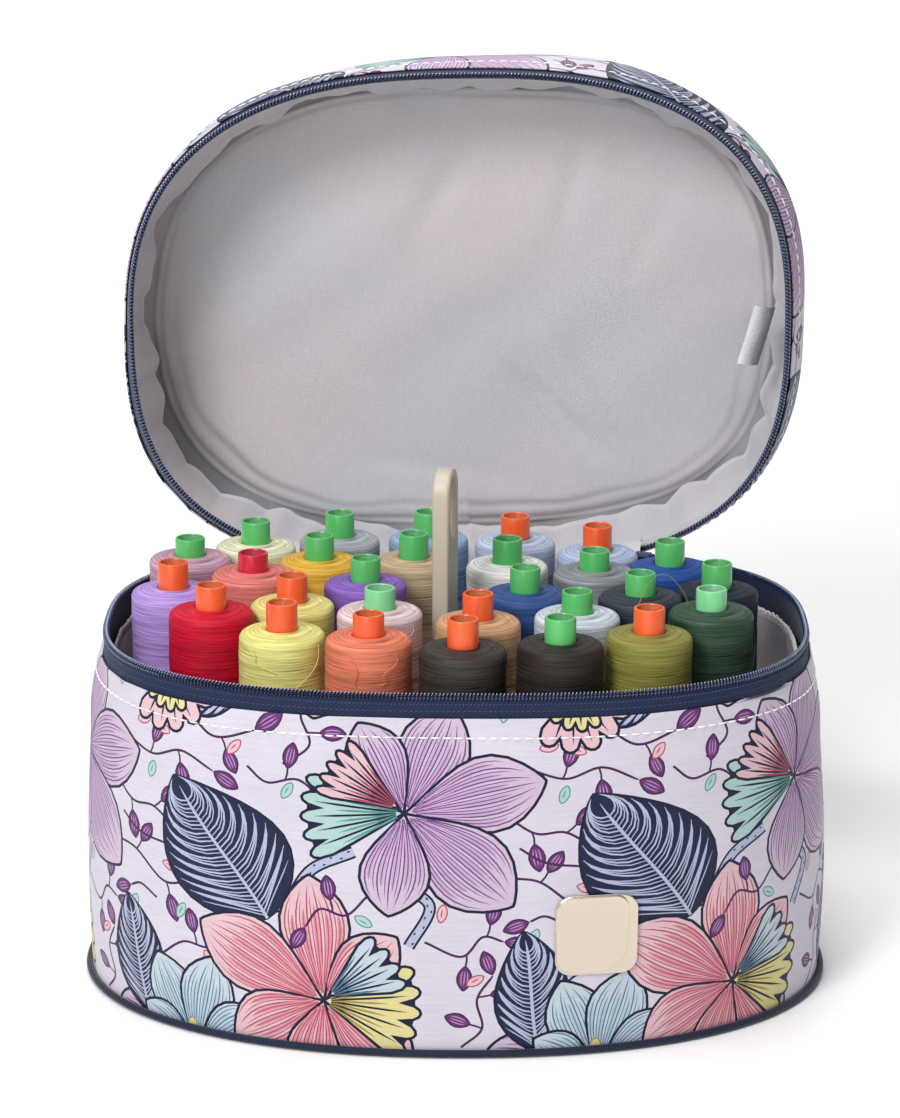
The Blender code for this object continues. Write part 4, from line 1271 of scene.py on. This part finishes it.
def turned(name, profile, place, look, body, steps=96, sway=None, **facts):
    """A turned shape: profile is (radius, height) pairs, and sway moves the surface in or out."""
    profile = np.asarray(profile, float)
    angles = np.linspace(0, 2 * math.pi, steps + 1)[:-1]
    radius = np.repeat(profile[:, :1], steps, 1)
    if sway is not None:
        radius = radius + sway(angles[None, :], profile[:, 1:])
    heights = np.repeat(profile[:, 1:], steps, 1)
    points = np.stack([radius * np.cos(angles), radius * np.sin(angles), heights], -1)
    faces, corners = lattice(len(profile), steps, closed=True)
    run = run_along(profile)
    uv = np.stack([corners[:, 1] * 2 * math.pi * THREAD_R / steps, run[corners[:, 0].astype(int)]], 1)
    return build(name, points.reshape(-1, 3) + place, faces, look, body, uv=uv, **facts)


def reel(number, core, tint, fuller):
    """One reel: its plastic core, and the thread wound on it. Returns its place and the thread's top."""
    node = f"spool_{number:02d}"
    low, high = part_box(node)
    place = np.array(((low.x + high.x) / 2, (low.y + high.y) / 2, low.z))
    rng = random.Random(number)
    spin = rng.uniform(0, 6.28)
    r, b, h = CORE_R, BORE_R, REEL_HEIGHT
    profile = [(b, h - 0.0004), (b, 0.0), (r, 0.0), (r, h - 0.0108), (r, h - 0.0007)]
    profile += [(r - 0.0002, h - 0.0002), (r - 0.0006, h), (b + 0.0003, h), (b, h - 0.0004), (b, h - 0.014)]
    made = turned(node + "_core", profile, place, CORES[core], "upper_tray", 48, slot=f"core_{core}")
    made.data.set_sharp_from_angle(angle=math.radians(40))
    top = 0.0634 + fuller / 1000
    full_r = THREAD_R - 0.0001
    profile = [(0.0061, 0.0083), (0.0135, 0.0080), (0.0156, 0.0086), (0.0164, 0.0102)]
    profile += [(full_r, z) for z in np.linspace(0.0125, top - 0.0040, 26)]
    for a in np.linspace(0.16, 1.0, 7) * math.pi / 2:
        profile.append((full_r - 0.0024 * (1 - math.cos(a)), top - 0.0040 + 0.0027 * math.sin(a)))
    profile += [(r, top - 0.0013 + 0.0013 * (0.0144 - r) / 0.0076) for r in np.linspace(0.0136, 0.0072, 7)]
    profile += [(0.0066, top - 0.0003), (0.0061, top - 0.0009)]
    low_phase, up_phase = rng.uniform(0, 6), rng.uniform(0, 6)

    def sway(angle, z):
        soft = 0.00010 * np.sin(z * 230 + low_phase + 1.5 * np.sin(angle + spin))
        soft = soft + 0.00006 * np.sin(2 * angle + z * 510 + up_phase)
        return soft * np.clip((z - 0.008) / 0.004, 0, 1)

    facts = dict(slot=f"thread_{number:02d}", stands_for=(node,))
    turned(node + "_thread", profile, place, thread_look(number, tint), "upper_tray", 96, sway, **facts)
    return place, top


places = {number: reel(number, *facts) for number, facts in enumerate(REELS, 1)}

# ends that hang down a reel's side: reel, where the end leaves it, how far it drops and drifts round
HANGING_ENDS = (
    (11, -0.55, 0.026, -1.1),
    (11, -2.4, 0.010, 0.7),
    (12, -2.0, 0.020, 0.5),
    (12, -0.9, 0.012, -0.4),
    (16, -0.35, 0.030, 0.12),
    (15, -2.9, 0.018, -0.2),
    (23, -2.7, 0.012, 0.4),
    (24, -0.7, 0.010, -0.6),
)


def thread_end(name, number, points):
    """One free end of thread, 0.3 mm thick, along a smooth line."""
    line = curve(points, 12)
    _, across, over = oriented(line, closed=False)
    data, faces = tube(line, across * 0.00015, over * 0.00015, 6, closed=False)
    thread = f"thread_{number:02d}"
    made = build(name, data, faces, bpy.data.materials[thread], "upper_tray", thread)
    length = float(run_along(line)[-1])


def beside(place, radius, angle, rise):
    """A point round a reel's axis."""
    return place[0] + radius * math.cos(angle), place[1] + radius * math.sin(angle), place[2] + rise


def loose_ends():
    """Threads that have come off their reels: ends hanging down, one long arched end, and stray fibres."""
    for number, turn, drop, sweep in HANGING_ENDS:
        place, top = places[number]
        at = []
        for t in np.linspace(0, 1, 16):
            a = turn + sweep * t + 0.10 * math.sin(9 * t)
            r = THREAD_R + 0.0002 + 0.0009 * math.sin(math.pi * t)
            at.append(beside(place, r, a, top - 0.004 - drop * t**0.8))
        thread_end(f"spool_{number:02d}_loose_end_{round(-turn * 10):02d}", number, at)
    # a long end from the olive reel, arched over towards the dark green one
    (a, top_a), (b, top_b) = places[15], places[16]
    start, end = a + (-0.0062, 0.002, top_a - 0.0002), b + (-0.0085, 0.002, top_b - 0.0002)
    across = np.linspace(0, 1, 17)[:, None]
    rise = np.sin(math.pi * across**0.85) ** 0.8
    thread_end("spool_15_long_end", 15, start * (1 - across) + end * across + rise * (0, 0.004, 0.0165))
    # fuzz on the roughest dark thread
    rng = random.Random(5)
    place, top = places[13]
    parts = []
    for _ in range(90):
        turn, z, lean = rng.uniform(0, 6.28), rng.uniform(0.014, top - 0.004), rng.uniform(-0.3, 0.3)
        at = []
        for t in np.linspace(0, 1, 4):
            r = THREAD_R - 0.0002 + rng.uniform(0.0010, 0.0022) * math.sin(math.pi * t)
            at.append(beside(place, r, turn + lean * t, z + rng.uniform(-0.0012, 0.0012)))
        line = curve(at, 12)
        _, across, over = oriented(line, closed=False)
        parts.append(tube(line, across * 0.00006, over * 0.00006, 4, closed=False))
    points, faces = gather(parts)
    build("spool_13_fuzz", points, faces, bpy.data.materials["thread_13"], "upper_tray", "thread_13")


loose_ends()


# ---------------------------------------------------------------- handle, trays, badge and metal
def carried(names, look, bevel=0.0, segments=2):
    """CAD nodes that keep their shape, with softened edges and a finish."""
    for name in names:
        made = nodes[name]
        made.data.materials.clear()
        made.data.materials.append(look)
        if bevel:
            edges = made.modifiers.new("soft_edges", "BEVEL")
            edges.width, edges.segments = bevel, segments
            edges.limit_method, edges.angle_limit = "ANGLE", math.radians(35)
            edges.harden_normals = False


def rounded_plate(name, outlines, thick, edge, place, look, body, **facts):
    """A moulded plate with rounded edges: flat outlines, with any holes, made thick and set in place."""
    data = bpy.data.curves.new(name, "CURVE")
    data.dimensions, data.fill_mode = "2D", "BOTH"
    data.extrude, data.bevel_depth, data.bevel_resolution, data.offset = thick / 2 - edge, edge, 4, -edge
    for outline in outlines:
        spline = data.splines.new("POLY")
        spline.points.add(len(outline) - 1)
        spline.points.foreach_set("co", [c for x, y in outline for c in (x, y, 0, 1)])
        spline.use_cyclic_u = True
    shape = bpy.data.objects.new(name + "_shape", data)
    mesh = bpy.data.meshes.new_from_object(shape)
    mesh.transform(place)
    points = np.array([v.co for v in mesh.vertices])
    faces = [tuple(f.vertices) for f in mesh.polygons]
    bpy.data.objects.remove(shape)
    made = build(name, points, faces, look, body, **facts)
    made.data.set_sharp_from_angle(angle=math.radians(50))
    return made


def handle():
    """The lifting handle: an upright plate with a round top and a finger slot, on a flat foot."""
    insert = Matrix.Translation((-0.0045, 0, 0)) @ Matrix.Rotation(math.radians(-11), 4, "Z")
    r, thick, top = 0.0100, 0.0069, 0.2080
    round_top = [(r * math.cos(a), top - r + r * math.sin(a)) for a in np.linspace(0, math.pi, 41)]
    outer = [(-r, FLOOR_Z), (r, FLOOR_Z), *round_top]
    slot_half = (0.0060, 0.0115)
    x, y = oval(np.linspace(0, 2 * math.pi, 61)[:-1], *slot_half, 2.5)
    slot = list(zip(x, top - 0.0042 - slot_half[1] + y))
    upright = Matrix(((0, 0, 1, 0), (1, 0, 0, 0), (0, 1, 0, 0), (0, 0, 0, 1)))
    place, shown = insert @ upright, ("lift_handle",)
    rounded_plate("lift_handle_plate", [outer, slot], thick, 0.0014, place, BEIGE, "insert", stands_for=shown)
    x, y = oval(np.linspace(0, 2 * math.pi, 49)[:-1], 0.0150, 0.0220, 7)
    foot, place = 0.0020, insert @ Matrix.Translation((0, 0, FLOOR_Z + 0.0010))
    rounded_plate("lift_handle_foot", [list(zip(x, y))], foot, 0.0007, place, BEIGE, "insert")


handle()


def rounded_corners(width, height, radii, centre):
    """A rectangle with a radius for each corner, from the lower right one round."""
    outline = []
    for (sx, sy), r, start in zip(((1, -1), (1, 1), (-1, 1), (-1, -1)), radii, (-90, 0, 90, 180)):
        x, y = centre[0] + sx * (width / 2 - r), centre[1] + sy * (height / 2 - r)
        for a in np.radians(np.linspace(start, start + 90, 13)):
            outline.append((x + r * math.cos(a), y + r * math.sin(a)))
    return outline


def badge():
    """Two blank metal plates, one on the other, on the front."""
    fine = np.linspace(0, 0.2, 4001)
    u = fine[np.argmin(np.abs(case_angle(fine) - math.radians(-69.2)))]
    back = rounded_corners(0.0322, 0.0330, (0.0066,) * 4, (0.0004, 0))
    front = rounded_corners(0.0282, 0.0318, (0.0125, 0.0054, 0.0060, 0.0070), (-0.0013, 0.0004))
    for name, outline, rise, node in (
        ("badge_back_plate", back, 0.0007, "badge_plate"),
        ("badge_front_plate", front, 0.0017, "badge_face"),
    ):
        here, along, upwards, out = (v.ravel() for v in frames(case_at, np.array([u]), 0.0498, -rise))
        place = Matrix([[*row] for row in np.stack([along, upwards, out, here], 1)] + [[0, 0, 0, 1]])
        facts = dict(slot="badge", stands_for=(node,))
        rounded_plate(name, [outline], 0.0010, 0.00045, place, CHAMPAGNE, "case", **facts)


badge()
carried(("upper_tray", "lower_tray", "tray_spacer"), TRAY_GREY, 0.0003)
carried(("zip_slider_left", "zip_slider_right", "zip_pull_left", "zip_pull_right"), NAVY_METAL, 0.00025)
carried(("base_board",), plastic_look("board_grey", "8f8b86", "827e79", 0.8))


# ---------------------------------------------------------------- label
def satin_look():
    """Grey satin ribbon, with painted light and shade: paler towards its free end, darker towards the seam.
    """
    look = Look("label_satin", roughness=0.36, Specular_IOR_Level=0.5, Sheen_Weight=0.2, Sheen_Roughness=0.4)
    cloth = look.cloth()
    wear = look.noise(look.stretched(cloth, (300, 1500, 1)), 1.0, 3)
    # painted light and shade: the tone rises from the seam towards the lit free end
    share = look.spread(look.parts(cloth)[0], 0.006, 0.0140, 0.0, 0.9)
    share = look.maths("ADD", share, look.spread(wear, 0.3, 0.7, -0.1, 0.1))
    look.colour(look.tinted("6f6e75", share, "dddce0"))
    look.rough(look.spread(wear, 0.3, 0.7, 0.32, 0.44))
    look.bump(wear, 0.00008, 0.4)
    return look.made


def label():
    """A blank folded satin label, caught in the seam and standing out over the lining."""
    columns, rows, gap = 14, 20, 0.00035
    s, t = np.meshgrid(np.linspace(0, 1, columns + 1), np.linspace(0, 1, rows + 1))
    x = RIM_HALF[0] - 0.0074 - 0.0060 * t - 0.0088 * s + 0.0006 * np.cos(2.2 * t)
    y = -0.0075 + 0.0240 * t
    wave = 0.0012 * np.sin(3.0 * t + 0.6) * s + 0.0007 * np.sin(9 * t) * s
    z = 0.0150 - 0.0028 * np.sin(math.pi * s**0.8) + 0.0020 * s + wave
    points = np.concatenate([np.stack([x, y, z + rise], -1).reshape(-1, 3) for rise in (0, gap)])
    under, under_corners = lattice(rows + 1, columns + 1, flip=True)
    over, over_corners = lattice(rows + 1, columns + 1)
    faces = under + [[i + s.size for i in face] for face in over]
    uv = np.concatenate([under_corners, over_corners])[:, ::-1] * (0.0155 / columns, 0.023 / rows)
    facts = dict(slot="satin_label", stands_for=("lid_label",), uv=uv)
    made = build("lid_blank_label", open_lid(points), faces, satin_look(), "lid", **facts)


label()


# ---------------------------------------------------------------- carrying strap
STRAP_HALF_SPAN, STRAP_END, STRAP_WIDTH, STRAP_THICK = 0.050, 0.030, 0.025, 0.0022
STRAP_Z = LID_HEIGHT + 0.0022


def strap():
    """Webbing over the lid, arched between its two flat ends."""
    half_span, end = STRAP_HALF_SPAN, STRAP_END
    flat_end = np.linspace(half_span, half_span + end, 13)[1:]
    xs = np.concatenate([-flat_end[::-1], np.linspace(-half_span, half_span, 61), flat_end])
    arch = 0.024 * np.maximum(np.cos(np.clip(xs / half_span, -1, 1) * math.pi / 2), 0) ** 1.3
    line = np.stack([xs, np.zeros_like(xs), STRAP_Z + arch], 1)
    along = np.gradient(line, axis=0)
    along /= np.linalg.norm(along, axis=1)[:, None]
    up = np.stack([-along[:, 2], np.zeros_like(xs), along[:, 0]], 1)
    w, h, r = STRAP_WIDTH / 2, STRAP_THICK / 2, 0.0006
    section = [(-w, 0), (-w + r, h), (0, h + 0.0002), (w - r, h), (w, 0), (w - r, -h), (0, -h), (-w + r, -h)]
    points = np.stack([line + up * b + np.array([0, a, 0]) for a, b in section], 1).reshape(-1, 3)
    sides = len(section)
    faces, corners = lattice(len(xs), sides, closed=True)
    faces += [tuple(range(sides))[::-1], tuple(len(points) - sides + j for j in range(sides))]
    run = run_along(line)
    around = np.array([0, 0.001, 0.0135, 0.026, 0.027, 0.028, 0.0405, 0.053, 0.054])
    uv = np.stack([run[corners[:, 0].astype(int)], around[corners[:, 1].astype(int)]], 1)
    uv = np.concatenate([uv, np.zeros((2 * sides, 2))])
    facts = dict(slot="webbing", stands_for=("carry_strap",), uv=uv)
    made = build("lid_carry_strap", open_lid(points), faces, WEBBING, "lid", **facts)


def strap_stitches():
    """A boxed cross of stitches at each end of the strap."""
    parts = []
    bend = np.linspace(0, math.pi, 5)
    for side in (-1, 1):
        x0, x1 = side * (STRAP_HALF_SPAN + 0.003), side * (STRAP_HALF_SPAN + STRAP_END - 0.003)
        w = STRAP_WIDTH / 2 - 0.003
        a, b, c, d = np.array(((x0, -w), (x1, -w), (x1, w), (x0, w)))
        for start, end in ((a, b), (b, c), (c, d), (d, a), (a, c), (d, b)):
            count = round(np.linalg.norm(end - start) / 0.003)
            for i in range(count):
                share = (i + np.linspace(0.1, 0.9, 5)) / count
                flat = start + share[:, None] * (end - start)
                dip = np.sin(bend) ** 0.5 * 0.0003
                here = np.stack([flat[:, 0], flat[:, 1], STRAP_Z + STRAP_THICK / 2 + dip], 1)
                _, across, over = oriented(here, closed=False)
                parts.append(tube(here, across * 0.00028, over * 0.00028, 5, closed=False))
    points, faces = gather(parts)
    build("lid_strap_stitches", open_lid(points), faces, BLUE_THREAD, "lid")


strap()
strap_stitches()


# ---------------------------------------------------------------- cloth hinge
def hinge(name, look, line, slot, stands_for=()):
    """Cloth from the case's back edge to the lid's: line gives its points at a share of the way."""
    fine = np.linspace(-CASE_GIRTH / 2, CASE_GIRTH / 2, 4001)[:-1]
    near = fine[apart(case_angle(fine), BACK) < HINGE_END]
    right, left = near[near > 0].min(), near[near < 0].max()
    us = np.linspace(right, CASE_GIRTH + left, 49)
    shares = np.linspace(0, 1, 15)
    points = np.stack([line(us, us * LID_GIRTH / CASE_GIRTH, s) for s in shares])
    faces, corners = lattice(len(shares), len(us))
    uv = np.stack([us[corners[:, 1].astype(int)], 0.03 * shares[corners[:, 0].astype(int)]], 1)
    made = build(name, points.reshape(-1, 3), faces, look, None, slot, stands_for, uv=uv)
    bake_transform(made)
    across = float(run_along(points[:, len(us) // 2])[-1])


def bridge(case_edge, lid_edge, lift, ends):
    """A line between two edges, each (z, inset). It bows by lift, and by ends more at the hinge's ends."""

    def line(us, lid_us, s):
        start, end = case_at(us, *case_edge), lid_at(lid_us, *lid_edge)
        middle = (start + end) / 2 + np.array(lift) + (start[:, :1] / 0.085) ** 4 * np.array(ends)
        return start * (1 - s) ** 2 + middle * 2 * s * (1 - s) + end * s * s

    return line


outer_bridge = bridge((0.1300, -0.0006), (0.0120, -0.0026), (0, 0.002, 0.012), (0, 0.002, -0.004))
inner_bridge = bridge((0.1330, 0.0056), (0.0060, 0.0046), (0, 0, 0.020), (0, 0, -0.006))
hinge("hinge_cloth", WEBBING, outer_bridge, "zip_tape", ("hinge_strip",))
hinge("hinge_lining", LINING_CLOTH, inner_bridge, "lining")


# ---------------------------------------------------------------- floor, light and camera
def plane(name, size, look):
    """A level square that the object stands on."""
    data = bpy.data.meshes.new(name)
    h = size / 2
    data.from_pydata([(-h, -h, 0), (h, -h, 0), (h, h, 0), (-h, h, 0)], [], [(0, 1, 2, 3)])
    data.materials.append(look)
    made = bpy.data.objects.new(name, data)
    bpy.context.scene.collection.objects.link(made)


plane("floor", 30.0, Look("floor_white", (0.93, 0.93, 0.93), 0.9, Specular_IOR_Level=0.1).made)


def softbox(name, at, size, power, aim=(0, 0, 0.15)):
    """A round area light, with its diameter in metres and its power in watts, turned to its aim."""
    data = bpy.data.lights.new(name, "AREA")
    data.shape = "DISK"
    data.size = size
    data.energy = power
    lamp = bpy.data.objects.new(name, data)
    lamp.location = at
    lamp.rotation_euler = (Vector(aim) - Vector(at)).to_track_quat("-Z", "Y").to_euler()
    bpy.context.scene.collection.objects.link(lamp)


softbox("key_light", (-1.2, -2.1, 1.9), 1.0, 51)
softbox("fill_light", (-0.7, -2.4, 1.0), 1.6, 12)
softbox("top_light", (-0.2, -0.3, 2.5), 1.4, 30)
softbox("backdrop_light", (0, 3.4, 2.4), 2.4, 76, (0, 3.0, 0))

world = bpy.data.worlds.new("studio")
world.use_nodes = True
background = world.node_tree.nodes["Background"].inputs
background["Color"].default_value = (1, 1, 1, 1)
background["Strength"].default_value = 0.31
bpy.context.scene.world = world
bpy.context.scene.view_settings.view_transform = "Standard"

camera = bpy.data.objects.new("camera", bpy.data.cameras.new("camera"))
camera.data.sensor_width = 36
camera.data.lens = 126.55
pitch, yaw, roll, orbit = 0.2779, -0.0019, 0.0035, 0.0048
ahead = Vector((math.sin(yaw) * math.cos(pitch), math.cos(yaw) * math.cos(pitch), -math.sin(pitch)))
level = Vector((math.cos(yaw), -math.sin(yaw), 0))
above = level.cross(ahead)
right = level * math.cos(roll) + above * math.sin(roll)
up = above * math.cos(roll) - level * math.sin(roll)
place = Matrix.Rotation(orbit, 4, "Z") @ Matrix.Translation((0.0003, -1.5059, 0.6000))
camera.matrix_world = place @ Matrix((right, up, -ahead)).transposed().to_4x4()
camera.data.clip_end = 60
bpy.context.scene.collection.objects.link(camera)
bpy.context.scene.camera = camera
